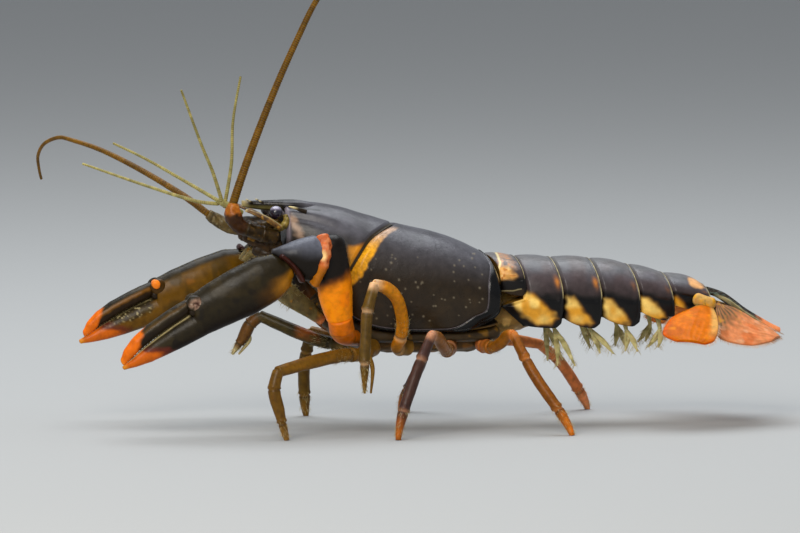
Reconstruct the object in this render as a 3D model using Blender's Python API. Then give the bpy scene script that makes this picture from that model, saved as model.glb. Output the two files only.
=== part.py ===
"""A Cherax crayfish at life size, in a walking pose, as separate closed solids.

Sizes are in millimetres and become metres as each mesh is made. The head points to -X,
the animal's left side is at -Y, +Z is up and the floor is z = 0.
"""
import math

import bmesh
import bpy
from mathutils import Matrix, Vector

MM = 0.001
GAP = 0.3                      # clearance between neighbouring solids
ORIGIN = Vector((0.87, -6.85, 0.0))   # added to every point, to set the model's middle over the origin
LEFT, RIGHT = -1, 1
SIDE_NAMES = {LEFT: "left", RIGHT: "right"}

# Driving dimensions
BODY_HALF_COLUMNS = 10         # mesh columns from the back's midline down to a margin
BACK_SHARE = 0.6               # share of a flank's columns above its widest line
LEG_SIDES = 8
FEELER_STEPS = 3               # curve points between two given points of a feeler
ROSTRUM_TIP_X = -34.3
ORBIT_X = -27.0
GROOVE_TOP_X = -6.3            # where the cervical groove crosses the back
GROOVE_SWEEP = 14.0            # how far forward the groove runs on its way down
GROOVE_WIDTH = 0.55            # on the back; it widens down the side
CARAPACE_REAR_X = 9.3
REAR_BULGE = 2.2               # how far the shell's rear margin bulges back at the side
CORNER_CUT = 5.0               # how far its lower corner is rounded off
WAIST_SHARE = 0.42             # height of a shell's widest line, of the height from margin to back
ARCH_ROUNDNESS = 0.92          # exponent of a shell's arch; 1 gives an ellipse
ROUNDED_END = 0.22             # length of a limb's rounded end, of its width
END_SHRINK = 0.62              # size of that end, of the limb's size

# Carapace stations: x, back height, lower margin height, half width, half width at the margin
CARAPACE = (
    (-27.5, 40.6, 31.4, 4.9, 3.2),
    (-22.0, 40.6, 26.2, 7.1, 5.6),
    (-17.0, 39.8, 21.2, 8.5, 7.2),
    (-12.0, 38.3, 18.5, 9.4, 8.3),
    (-6.0, 36.5, 17.7, 10.1, 8.9),
    (0.0, 35.1, 17.6, 10.4, 9.2),
    (5.0, 33.4, 17.6, 10.3, 9.1),
    (9.5, 31.2, 18.0, 9.6, 8.6),
    (12.5, 30.0, 18.8, 9.1, 8.2),
)

# Abdomen stations: x, back height, half width
ABDOMEN = (
    (9.0, 31.0, 7.2),
    (14.6, 30.4, 7.7),
    (21.8, 30.0, 7.8),
    (28.9, 29.7, 7.6),
    (36.0, 28.5, 7.2),
    (42.4, 26.9, 6.7),
    (47.2, 25.9, 6.0),
    (50.4, 24.4, 5.2),
)
SEGMENT_ENDS = (9.8, 15.1, 21.8, 28.9, 36.0, 42.4, 49.9)      # on the back's midline
PLEURON_LOW = (23.7, 17.8, 17.6, 17.8, 18.7, 20.2)            # lowest point of each side plate
PLEURON_CUT = (0.8, 0.4, 1.9, 1.8, 1.6, 1.2)                  # how much its front corner rises
SEGMENT_SWEEP = 1.2            # rear margins lean back down the side
LEAN_DEPTH = 7.0               # and do so within this depth
TIP_DEPTH = 9.0                # below this depth they lean forward again
TIP_SLOPE = 0.15
FLAP_REACH = 3.6               # the second side plate reaches forward below the first
FLAP_DEPTHS = (7.3, 8.5)       # depths where that reach begins and is greatest
FLAP_SLOPE = 1.1               # how fast its front edge falls back below
BELLY_SHARE = 0.36             # the belly's height between plate tips and back
PLATE_THICKNESS = 1.9          # of a side plate, where it leaves the belly

SHELL = (0.030, 0.024, 0.022, 1.0)
SHELL_BROWN = (0.060, 0.048, 0.030, 1.0)
CLAW = (0.055, 0.044, 0.032, 1.0)
ORANGE = (0.90, 0.21, 0.02, 1.0)
LEG_BROWN = (0.30, 0.13, 0.03, 1.0)
FEELER_ORANGE = (0.42, 0.16, 0.03, 1.0)
OLIVE = (0.16, 0.12, 0.04, 1.0)
EYE_BLACK = (0.010, 0.010, 0.018, 1.0)
FAN_PINK = (0.90, 0.28, 0.08, 1.0)


def vec(x, y, z):
    return Vector((x, y, z))


def mirrored(point, side):
    """A point given for the right side, moved to the side asked for."""
    return vec(point[0], point[1] * side, point[2])


def station_value(stations, x, column):
    """Value at x of a smooth curve through one column of a table of stations."""
    last = len(stations) - 1
    if x <= stations[0][0]:
        return stations[0][column]
    if x >= stations[last][0]:
        return stations[last][column]
    i = max(k for k in range(last) if stations[k][0] <= x)

    def slope(k):
        before, after = stations[max(k - 1, 0)], stations[min(k + 1, last)]
        return (after[column] - before[column]) / (after[0] - before[0])

    span = stations[i + 1][0] - stations[i][0]
    u = (x - stations[i][0]) / span
    start, end = stations[i][column], stations[i + 1][column]
    return ((2 * u**3 - 3 * u**2 + 1) * start + (u**3 - 2 * u**2 + u) * span * slope(i)
            + (3 * u**2 - 2 * u**3) * end + (u**3 - u**2) * span * slope(i + 1))


def smooth_path(points, steps):
    """Points of a Catmull-Rom curve through the given ones."""
    path = []
    for i in range(len(points) - 1):
        a = points[max(i - 1, 0)]
        b, c = points[i], points[i + 1]
        d = points[min(i + 2, len(points) - 1)]
        for k in range(steps):
            t = k / steps
            path.append(0.5 * ((2 * b) + (c - a) * t + (2 * a - 5 * b + 4 * c - d) * t**2
                               + (3 * b - a - 3 * c + d) * t**3))
    path.append(points[-1].copy())
    return path


def make_material(name, colour, roughness=0.4):
    material = bpy.data.materials.new(name)
    material.use_nodes = True
    shader = material.node_tree.nodes["Principled BSDF"]
    shader.inputs["Base Color"].default_value = colour
    shader.inputs["Roughness"].default_value = roughness
    shader.inputs["Metallic"].default_value = 0.0
    return material


def clear_scene():
    for item in list(bpy.data.objects):
        bpy.data.objects.remove(item)


def make_collection(name):
    collection = bpy.data.collections.new(name)
    bpy.context.scene.collection.children.link(collection)
    return collection


def add_mesh(points, faces, name="piece"):
    """A new object from points in millimetres, its faces turned outward."""
    mesh = bpy.data.meshes.new(name)
    mesh.from_pydata([(p + ORIGIN) * MM for p in points], [], faces)
    bm = bmesh.new()
    bm.from_mesh(mesh)
    bmesh.ops.triangulate(bm, faces=[f for f in bm.faces if len(f.verts) > 4])
    bmesh.ops.recalc_face_normals(bm, faces=bm.faces)
    bm.to_mesh(mesh)
    bm.free()
    piece = bpy.data.objects.new(name, mesh)
    bpy.context.scene.collection.objects.link(piece)
    return piece


def split_quad(a, b, c, d, mirrored_half):
    """Two triangles of a quad, cut on the diagonal that suits its half of the body."""
    if mirrored_half:
        return [(a, b, d), (b, c, d)]
    return [(a, b, c), (a, c, d)]


def closed_sheet(outer, inner):
    """A closed body between two grids of points with equal rows and columns."""
    rows, columns = len(outer), len(outer[0])
    points = [p for row in outer for p in row] + [p for row in inner for p in row]
    layer = rows * columns
    faces = []
    for c in range(columns - 1):
        far_half = c >= (columns - 1) / 2
        for r in range(rows - 1):
            a = r * columns + c
            b = a + columns
            faces += split_quad(a, a + 1, b + 1, b, far_half)
            faces += split_quad(layer + a, layer + a + 1, layer + b + 1, layer + b, far_half)
        for r in (0, rows - 1):
            a = r * columns + c
            faces += split_quad(a, a + 1, layer + a + 1, layer + a, far_half)
    for r in range(rows - 1):
        for c in (0, columns - 1):
            a = r * columns + c
            b = a + columns
            faces += split_quad(a, b, layer + b, layer + a, False)
    return add_mesh(points, faces)


def closed_tube(rings):
    """A closed body through rings of points, each end closed round the middle of its last ring."""
    sides = len(rings[0])
    points = [p for ring in rings for p in ring]
    faces = []
    for r in range(len(rings) - 1):
        for c in range(sides):
            a, b = r * sides + c, r * sides + (c + 1) % sides
            faces += [(a, b, b + sides), (a, b + sides, a + sides)]
    for base in (0, (len(rings) - 1) * sides):
        points.append(sum(points[base:base + sides], vec(0, 0, 0)) / sides)
        pole = len(points) - 1
        faces += [(base + c, base + (c + 1) % sides, pole) for c in range(sides)]
    return add_mesh(points, faces)


def ring(centre, across, upward, width, depth, sides):
    """An ellipse of points in the plane of two unit vectors."""
    points = []
    for k in range(sides):
        angle = 2 * math.pi * (k + 0.5) / sides
        points.append(centre + across * (math.cos(angle) * width / 2)
                      + upward * (math.sin(angle) * depth / 2))
    return points


def limb(path, sizes, across, sides=LEG_SIDES, first_tangent=None, last_tangent=None):
    """A jointed rod: path points, a (width, depth) for each, and the direction of width.

    Its ends are rounded. An end whose tangent is given is cut flat across that direction.
    """
    last = len(path) - 1
    tangents = [(path[min(i + 1, last)] - path[max(i - 1, 0)]).normalized() for i in range(last + 1)]
    if first_tangent is not None:
        tangents[0] = first_tangent
    if last_tangent is not None:
        tangents[last] = last_tangent
    rings = []
    for i in range(last + 1):
        width, depth = sizes[i]
        side = (across - tangents[i] * across.dot(tangents[i])).normalized()
        up = tangents[i].cross(side)
        round_over = tangents[i] * min(width, depth) * ROUNDED_END
        small = (width * END_SHRINK, depth * END_SHRINK)
        if i == 0 and first_tangent is None:
            rings.append(ring(path[i] - round_over, side, up, *small, sides))
        rings.append(ring(path[i], side, up, width, depth, sides))
        if i == last and last_tangent is None:
            rings.append(ring(path[i] + round_over, side, up, *small, sides))
    return closed_tube(rings)


def spine(base, tip, radius, sides=5):
    """A thorn as a cone from its base centre to its tip."""
    axis = tip - base
    bm = bmesh.new()
    turn = axis.to_track_quat("Z", "Y").to_matrix().to_4x4()
    place = Matrix.Translation((base + axis / 2 + ORIGIN) * MM) @ turn
    bmesh.ops.create_cone(bm, cap_ends=True, segments=sides, radius1=radius * MM,
                          radius2=radius * 0.15 * MM, depth=axis.length * MM, matrix=place)
    mesh = bpy.data.meshes.new("spine")
    bm.to_mesh(mesh)
    bm.free()
    piece = bpy.data.objects.new("spine", mesh)
    bpy.context.scene.collection.objects.link(piece)
    return piece


def ball(centre, radius, segments=12, rings=8):
    bm = bmesh.new()
    bmesh.ops.create_uvsphere(bm, u_segments=segments, v_segments=rings, radius=radius * MM,
                              matrix=Matrix.Translation((centre + ORIGIN) * MM))
    mesh = bpy.data.meshes.new("ball")
    bm.to_mesh(mesh)
    bm.free()
    piece = bpy.data.objects.new("ball", mesh)
    bpy.context.scene.collection.objects.link(piece)
    return piece


def feeler(points, thick, thin, steps=FEELER_STEPS):
    """A tapering whip as a bevelled curve, made a mesh with its caps welded."""
    path = smooth_path(points, steps)
    curve = bpy.data.curves.new("feeler", "CURVE")
    curve.dimensions = "3D"
    curve.bevel_depth = thick / 2 * MM
    curve.bevel_resolution = 1
    curve.use_fill_caps = True
    line = curve.splines.new("POLY")
    line.points.add(len(path) - 1)
    for k, point in enumerate(path):
        share = k / (len(path) - 1)
        line.points[k].co = (*((point + ORIGIN) * MM), 1.0)
        line.points[k].radius = 1.0 + (thin / thick - 1.0) * share
    drawn = bpy.data.objects.new("feeler_curve", curve)
    bpy.context.scene.collection.objects.link(drawn)
    graph = bpy.context.evaluated_depsgraph_get()
    mesh = bpy.data.meshes.new_from_object(drawn.evaluated_get(graph))
    bpy.data.objects.remove(drawn)
    bm = bmesh.new()
    bm.from_mesh(mesh)
    bmesh.ops.remove_doubles(bm, verts=bm.verts, dist=0.00001)
    bmesh.ops.recalc_face_normals(bm, faces=bm.faces)
    bm.to_mesh(mesh)
    bm.free()
    piece = bpy.data.objects.new("feeler", mesh)
    bpy.context.scene.collection.objects.link(piece)
    return piece


def keep_largest(mesh):
    """Remove every closed surface but the largest from a mesh."""
    bm = bmesh.new()
    bm.from_mesh(mesh)
    bm.faces.ensure_lookup_table()
    seen, groups = set(), []
    for start in bm.faces:
        if start.index in seen:
            continue
        stack, group = [start], []
        seen.add(start.index)
        while stack:
            face = stack.pop()
            group.append(face)
            for edge in face.edges:
                for other in edge.link_faces:
                    if other.index not in seen:
                        seen.add(other.index)
                        stack.append(other)
        groups.append(group)
    groups.sort(key=lambda faces: sum(f.calc_area() for f in faces), reverse=True)
    for group in groups[1:]:
        bmesh.ops.delete(bm, geom=group, context="FACES")
    bm.to_mesh(mesh)
    bm.free()


def fuse(pieces, solver="EXACT"):
    """Join closed pieces into one closed body and return it."""
    body, rest = pieces[0], pieces[1:]
    if not rest:
        return body
    others = bpy.data.collections.new("fused_pieces")
    bpy.context.scene.collection.children.link(others)
    for piece in rest:
        bpy.context.scene.collection.objects.unlink(piece)
        others.objects.link(piece)
    union = body.modifiers.new("union", "BOOLEAN")
    union.operation = "UNION"
    union.solver = solver
    union.operand_type = "COLLECTION"
    union.collection = others
    graph = bpy.context.evaluated_depsgraph_get()
    mesh = bpy.data.meshes.new_from_object(body.evaluated_get(graph))
    body.modifiers.remove(union)
    body.data = mesh
    for piece in rest:
        bpy.data.objects.remove(piece)
    bpy.data.collections.remove(others)
    keep_largest(mesh)
    return body


def finish_node(piece, name, material, parts):
    """Name a finished solid, shade it smooth and file it with the model."""
    piece.name = name
    piece.data.name = name
    piece.data.materials.clear()
    piece.data.materials.append(material)
    piece.data.shade_smooth()
    piece.data.set_sharp_from_angle(angle=math.radians(40))
    bpy.context.scene.collection.objects.unlink(piece)
    parts.objects.link(piece)
    return piece


def flank_columns():
    """Shares from -1 at the left margin over the back to 1 at the right margin."""
    count = BODY_HALF_COLUMNS
    return [k / count for k in range(-count, count + 1)]


def arch_point(x, share, top, low, half, foot, inset=0.0):
    """A point of a shell arch: share 0 is the back's midline and 1 the lower margin."""
    t = abs(share)
    side = -1 if share < 0 else 1
    waist = low + WAIST_SHARE * (top - low)
    if t <= BACK_SHARE:
        angle = t / BACK_SHARE * math.pi / 2
        y = (half - inset) * math.sin(angle) ** ARCH_ROUNDNESS
        z = waist + (top - inset - waist) * max(math.cos(angle), 0.0) ** ARCH_ROUNDNESS
    else:
        s = (t - BACK_SHARE) / (1 - BACK_SHARE)
        y = half - inset - (half - foot) * s**2
        z = waist - (waist - low) * s
    return vec(x, y * side, z)


def belly_point(x, share, low, foot, vault):
    """The matching point of the closed underside, vaulted a little upward."""
    t = abs(share)
    side = -1 if share < 0 else 1
    return vec(x, (foot - 0.8) * t**0.8 * side, low + 0.16 + vault * (1 - t**2))


def groove_x(share):
    """The cervical groove's place along the body at each height of the flank."""
    return GROOVE_TOP_X - GROOVE_SWEEP * abs(share) ** 1.1


def groove_rear_x(share):
    """The groove's rear side, kept clear of its front side where it runs aslant."""
    return groove_x(share) + GROOVE_WIDTH * (1 + share**4)


def carapace_rear_x(share):
    """The rear margin bulges back at the side and rounds off below."""
    t = abs(share)
    corner = CORNER_CUT * max(0.0, (t - 0.75) / 0.25) ** 2
    return CARAPACE_REAR_X + REAR_BULGE * math.sin(math.pi * t / 1.3) - corner


def shell_rows(front, rear, stops):
    """Grids of the carapace between two margins; stops are (share of length, inset)."""
    outer, inner = [], []
    for along, inset in stops:
        outer_row, inner_row = [], []
        for share in flank_columns():
            x = front(share) + (rear(share) - front(share)) * along
            top, low, half, foot = [station_value(CARAPACE, x, k) for k in range(1, 5)]
            outer_row.append(arch_point(x, share, top, low, half, foot, inset))
            inner_row.append(belly_point(x, share, low, foot, 0.1))
        outer.append(outer_row)
        inner.append(inner_row)
    return outer, inner


def rostrum():
    """The pointed beak between the eyes, hollowed between two raised edges."""
    rows = ((-20.0, 3.5, 0.7), (-23.0, 3.5, 0.25), (-26.0, 3.0, 0.12), (-29.0, 2.1, 0.1),
            (-31.8, 1.4, 0.1), (ROSTRUM_TIP_X, 0.45, 0.0))
    outer, inner = [], []
    for x, half, sink in rows:
        top = station_value(CARAPACE, x, 1) - sink
        thickness = 0.7 + 0.16 * (x - ROSTRUM_TIP_X) ** 0.9
        outer_row, inner_row = [], []
        for f in (-1.0, -0.75, 0.0, 0.75, 1.0):
            lift = 0.4 if abs(f) == 0.75 else 0.0
            outer_row.append(vec(x, f * half, top + lift))
            inner_row.append(vec(x, f * half * 0.8, top - thickness))
        outer.append(outer_row)
        inner.append(inner_row)
    return closed_sheet(outer, inner)


def head_spines():
    """Thorns near the beak's tip and behind each eye."""
    thorns = []
    for side in (LEFT, RIGHT):
        for x, y in ((-33.0, 1.0), (-31.2, 1.5)):
            thorns.append(spine(mirrored((x + 0.5, y - 0.1, 40.7), side),
                                mirrored((x - 0.5, y + 0.45, 41.3), side), 0.35))
        thorns.append(spine(mirrored((-24.4, 4.6, 38.9), side),
                            mirrored((-26.5, 4.9, 40.1), side), 0.6))
    return thorns


def carapace_head():
    """The shell in front of the cervical groove, with the beak."""
    stops = ((0.0, 0.3), (0.04, 0.0), (0.16, 0.0), (0.3, 0.0), (0.45, 0.0), (0.6, 0.0),
             (0.75, 0.0), (0.88, 0.0), (0.965, 0.0), (1.0, 0.6))
    outer, inner = shell_rows(lambda share: ORBIT_X, groove_x, stops)
    beak = fuse([rostrum()] + head_spines())
    return fuse([closed_sheet(outer, inner), beak])


def carapace_thorax():
    """The shell behind the groove, with a raised rim along its rear margin."""
    stops = ((0.0, 0.6), (0.035, 0.1), (0.12, 0.0), (0.26, 0.0), (0.42, 0.0), (0.58, 0.0),
             (0.72, 0.0), (0.84, 0.0), (0.9, 0.25), (0.93, -0.15), (0.985, -0.15), (1.0, 0.2))
    outer, inner = shell_rows(groove_rear_x, carapace_rear_x, stops)
    return closed_sheet(outer, inner)


def underside():
    """The breastplate that the legs grow from."""
    path = [vec(-18.6, 0, 19.2), vec(-16, 0, 17.6), vec(-11, 0, 15.8), vec(-4, 0, 15.3),
            vec(3, 0, 15.3), vec(8.5, 0, 15.4), vec(11.2, 0, 16.0)]
    sizes = [(5.6, 3.4), (8.2, 4.2), (9.6, 4.2), (9.8, 4.2), (9.6, 4.2), (8.8, 4.0), (7.0, 3.2)]
    return limb(path, sizes, vec(0, 1, 0), sides=10)


def face_block():
    """The epistome and jaws between the feelers' roots."""
    path = [vec(-28.7, 0, 35.4), vec(-30.2, 0, 35.5), vec(-32.5, 0, 36.0), vec(-34.4, 0, 36.8),
            vec(-35.8, 0, 37.5)]
    sizes = [(8.0, 6.0), (7.6, 5.8), (6.4, 4.6), (4.8, 3.0), (3.4, 1.8)]
    return limb(path, sizes, vec(0, 1, 0), sides=10)


def maxilliped(side):
    """A third maxilliped, folded forward below the jaws, with its hanging palp."""
    path = [(-20.05, 2.3, 19.35), (-22.8, 2.7, 21.6), (-26.4, 2.8, 24.4), (-29.0, 2.7, 28.2),
            (-30.6, 2.4, 31.0), (-32.6, 2.1, 31.7), (-34.2, 1.8, 30.4)]
    sizes = [(1.6, 1.8), (1.8, 3.0), (1.8, 3.7), (1.6, 2.8), (1.5, 2.0), (1.2, 1.6), (0.7, 0.8)]
    return limb([mirrored(p, side) for p in path], sizes, vec(0, 1, 0), sides=8)


EYE_CENTRE = (-28.9, 4.6, 39.1)
EYE_RADIUS = 1.2
STALK_ROOT = (-27.75, 2.9, 38.3)


def eye(side):
    """An eye on its short stalk."""
    centre = mirrored(EYE_CENTRE, side)
    stalk = limb([mirrored(STALK_ROOT, side), centre], [(1.6, 1.2), (1.7, 1.5)], vec(0, 0, 1), sides=6)
    return fuse([ball(centre, EYE_RADIUS), stalk])


def antennal_scale(side):
    """The pointed blade beside each feeler's root, stiff along its outer edge."""
    rows = (((-28.6, 7.2, 36.3), (-28.4, 5.6, 36.6)), ((-30.6, 7.9, 37.6), (-30.4, 5.3, 38.1)),
            ((-32.6, 7.9, 38.8), (-32.4, 5.6, 38.9)), ((-34.9, 7.3, 39.7), (-34.7, 6.8, 39.7)))
    edges = [[mirrored(a, side), mirrored(b, side)] for a, b in rows]
    return plate(edges, 0.2, (0.7, 0.6, 0.55, 0.4), columns=4)


def plate(rows, camber, thicknesses, columns=5):
    """A curved plate: each row runs between two edge points, bowed up by camber."""
    outer, inner = [], []
    last = len(rows) - 1
    for r, (a, b) in enumerate(rows):
        along = sum(rows[min(r + 1, last)], vec(0, 0, 0)) - sum(rows[max(r - 1, 0)], vec(0, 0, 0))
        normal = (b - a).cross(along).normalized()
        if normal.z < 0:
            normal.negate()
        outer_row, inner_row = [], []
        for c in range(columns):
            f = c / (columns - 1)
            bow = 1 - (2 * f - 1) ** 2
            point = a.lerp(b, f) + normal * camber * bow
            outer_row.append(point + normal * thicknesses[r] * 0.5 * (0.6 + 0.4 * bow))
            inner_row.append(point - normal * thicknesses[r] * 0.5 * (0.6 + 0.4 * bow))
        outer.append(outer_row)
        inner.append(inner_row)
    return closed_sheet(outer, inner)


def antenna_base(side):
    """The stout jointed root of a long feeler; the left one is bent upward."""
    if side == LEFT:
        path = [(-29.0, 5.3, 34.8), (-31.6, 5.6, 35.5), (-34.0, 6.3, 36.2), (-36.2, 6.3, 37.4),
                (-37.0, 6.3, 39.2), (-36.9, 6.3, 40.9)]
        sizes = [(2.4, 2.6), (2.9, 2.9), (2.4, 2.4), (2.9, 2.9), (3.2, 3.1), (2.1, 2.1)]
    else:
        path = [(-29.0, 5.3, 34.8), (-31.8, 5.6, 35.4), (-34.6, 6.2, 35.5), (-37.2, 6.1, 36.7),
                (-39.4, 6.0, 38.1)]
        sizes = [(2.4, 2.6), (2.9, 2.9), (2.3, 2.3), (2.5, 2.5), (1.9, 1.9)]
    return limb([mirrored(p, side) for p in path], sizes, vec(0, 1, 0))


# Routes of the two long feelers; the right one curls forward and out
WHIP_ROUTES = {
    LEFT: (vec(-36.7, -6.4, 41.9), vec(-34.0, -7.5, 50.3), vec(-29.9, -9.0, 61.4),
           vec(-26.0, -10.5, 70.7), vec(-22.4, -12.0, 78.3), vec(-16.5, -14.5, 87.0),
           vec(-8.5, -17.0, 93.5), vec(1.0, -19.5, 97.0), vec(9.5, -21.5, 97.6)),
    RIGHT: (vec(-40.2, 6.15, 38.75), vec(-43.5, 9.0, 41.3), vec(-50.0, 15.0, 45.4), vec(-56.2, 21.0, 48.6),
            vec(-60.8, 27.0, 50.1), vec(-62.9, 30.0, 50.4), vec(-64.9, 34.0, 49.0), vec(-65.6, 37.0, 46.6),
            vec(-65.0, 39.5, 43.8), vec(-64.4, 41.0, 42.1)),
}
WHIP_THICK = {LEFT: 1.6, RIGHT: 1.3}
WHIP_MIDDLE = 0.95
WHIP_TIP = 0.5
WHIP_PARTING = 4               # the route point where each feeler is divided


def whip_parts(side):
    """The two lengths of a long feeler, parted by the usual gap."""
    route = WHIP_ROUTES[side]
    near_end = route[WHIP_PARTING]
    toward = (route[WHIP_PARTING + 1] - near_end).normalized()
    first = feeler(list(route[:WHIP_PARTING + 1]), WHIP_THICK[side], WHIP_MIDDLE)
    second = feeler([near_end + toward * GAP] + list(route[WHIP_PARTING + 1:]), WHIP_MIDDLE, WHIP_TIP)
    return first, second


ANTENNULE_ROUTES = {
    LEFT: (((-38.3, -2.1, 41.2), (-40.2, -3.4, 46.6), (-42.6, -5.0, 51.9), (-46.6, -8.0, 61.6)),
           ((-37.6, -1.8, 41.2), (-36.6, -2.4, 48.0), (-36.4, -3.0, 55.6), (-35.2, -4.0, 63.6))),
    RIGHT: (((-38.3, 1.8, 40.9), (-44.3, 5.0, 44.5), (-50.7, 7.0, 48.2), (-56.2, 9.0, 50.9)),
            ((-38.2, 2.2, 40.3), (-42.4, 4.2, 40.8), (-50.5, 8.0, 43.3), (-60.8, 15.0, 46.8))),
}


def antennule(side):
    """The short jointed root below the beak with its two thin feelers."""
    path = [(-34.7, 1.5, 38.8), (-36.6, 1.8, 40.0), (-38.3, 2.0, 40.9)]
    sizes = [(1.5, 1.3), (1.6, 1.4), (1.2, 1.2)]
    pieces = [limb([mirrored(p, side) for p in path], sizes, vec(0, 1, 0), sides=6)]
    for route in ANTENNULE_ROUTES[side]:
        pieces.append(feeler([vec(*p) for p in route], 0.7, 0.42, steps=2))
    return fuse(pieces)


# Claw shape along the line from wrist to tip: distance, lower edge, upper edge, thickness
PALM = ((-0.5, -1.3, 2.6, 2.6), (0.7, -2.5, 4.2, 4.0), (3.5, -3.5, 5.2, 5.2), (8.8, -3.6, 5.5, 5.8),
        (13.5, -3.0, 5.4, 5.6), (17.6, -2.5, 5.1, 4.6), (18.0, -2.5, 2.3, 4.2), (22.0, -2.35, 2.1, 3.7),
        (25.5, -2.1, 1.7, 3.1), (28.8, -1.75, 1.2, 2.5), (31.6, -1.2, 0.55, 1.8), (33.7, -0.6, 0.2, 0.9))
DACTYL = ((18.85, 3.0, 4.9, 2.6), (20.3, 2.85, 5.2, 3.3), (22.5, 2.7, 5.1, 3.2), (26.5, 2.2, 4.6, 2.8),
          (29.8, 1.6, 3.8, 2.3), (32.3, 1.0, 2.7, 1.7), (33.4, 0.7, 1.7, 0.9))
FAR_FINGER_CUT = 0.9           # how much shorter the right claw's moving finger is
CLAW_ENDS = {LEFT: (vec(-29.0, -17.0, 29.5), vec(-58.8, -15.0, 12.5)),
             RIGHT: (vec(-30.0, 16.0, 27.3), vec(-61.1, 15.0, 15.0))}


def claw_axes(side):
    """The wrist of a claw, and its directions from there: to the tip, across and up."""
    wrist, tip = CLAW_ENDS[side]
    along = (tip - wrist).normalized()
    across = (vec(0, 1, 0) - along * along.y).normalized()
    up = along.cross(across)
    if up.z < 0:
        up.negate()
    return wrist, along, across, up


def claw_piece(side, sections, sides):
    """A flattened rod of the claw, laid out in the plane of wrist, tip and height."""
    wrist, along, across, up = claw_axes(side)
    rings = []
    for distance, low, high, thickness in sections:
        centre = wrist + along * distance + up * (low + high) / 2
        rings.append(ring(centre, across, up, thickness, high - low, sides))
    return closed_tube(rings)


def claw_teeth(side, lower):
    """Blunt teeth along the biting edge of one finger."""
    wrist, along, _, up = claw_axes(side)
    teeth = []
    for distance, size in ((20.6, 0.5), (22.6, 0.65), (24.8, 0.5), (27.2, 0.4)):
        if lower:
            edge = station_value(PALM, distance, 2)
            base = wrist + along * distance + up * (edge - 0.5)
            teeth.append(spine(base, base + up * (0.5 + size * 0.35), size, sides=6))
        else:
            edge = station_value(DACTYL, distance, 1)
            base = wrist + along * distance + up * (edge + 0.5)
            teeth.append(spine(base, base - up * (0.5 + size * 0.2), size * 0.8, sides=6))
    return teeth


def palm(side):
    """The broad hand of a claw with its fixed finger."""
    return fuse([claw_piece(side, PALM, 12)] + claw_teeth(side, lower=True))


def dactyl(side):
    """The claw's moving finger."""
    root, length = DACTYL[0][0], DACTYL[-1][0] - DACTYL[0][0]
    scale = 1 - FAR_FINGER_CUT / length if side == RIGHT else 1.0
    sections = [(root + (distance - root) * scale, *rest) for distance, *rest in DACTYL]
    return fuse([claw_piece(side, sections, 10)] + claw_teeth(side, lower=False))


# Claw arm: path points, and the width and height of the section at each
CLAW_ARM = {
    LEFT: {
        "ischium": (((-14.6, -5.5, 16.4), (-17.0, -9.0, 17.2), (-18.0, -10.8, 18.6)),
                    ((2.8, 2.8), (3.8, 3.4), (4.6, 4.0))),
        "merus": (((-18.6, -12.2, 20.8), (-19.6, -13.6, 25.0), (-20.3, -14.9, 29.6), (-20.7, -15.8, 34.2)),
                  ((4.8, 3.8), (6.2, 4.6), (6.2, 4.8), (5.2, 4.2))),
        "carpus": (((-23.52, -16.3, 32.2), (-25.2, -16.6, 32.3), (-27.0, -16.9, 31.6),
                    (-28.64, -17.02, 30.45)),
                   ((4.4, 6.8), (5.4, 8.0), (5.4, 7.4), (3.6, 4.8))),
    },
    RIGHT: {
        "ischium": (((-14.4, 5.5, 16.8), (-16.6, 8.7, 18.0), (-17.9, 10.0, 19.6)),
                    ((2.8, 2.8), (3.6, 3.3), (4.3, 3.8))),
        "merus": (((-18.8, 11.0, 21.4), (-20.6, 12.6, 25.4), (-22.1, 14.1, 29.6), (-22.8, 14.8, 32.6)),
                  ((4.6, 3.8), (6.0, 4.6), (6.0, 4.8), (5.0, 4.0))),
        "carpus": (((-25.43, 15.4, 31.0), (-26.8, 15.6, 31.1), (-28.2, 15.9, 30.0),
                    (-29.49, 16.02, 28.25)),
                   ((4.2, 6.2), (5.2, 7.2), (5.2, 6.8), (3.6, 4.8))),
    },
}


def arm_segment(side, segment):
    """One joint of a claw's arm; the carpus is cut flat where it meets its neighbours."""
    points, sizes = CLAW_ARM[side][segment]
    path = [vec(*p) for p in points]
    if segment != "carpus":
        return limb(path, list(sizes), vec(1, 0, 0), sides=10)
    wrist, tip = CLAW_ENDS[side]
    return limb(path, list(sizes), vec(0, 1, 0), sides=12, first_tangent=vec(-1, 0, 0),
                last_tangent=(tip - wrist).normalized())


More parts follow.
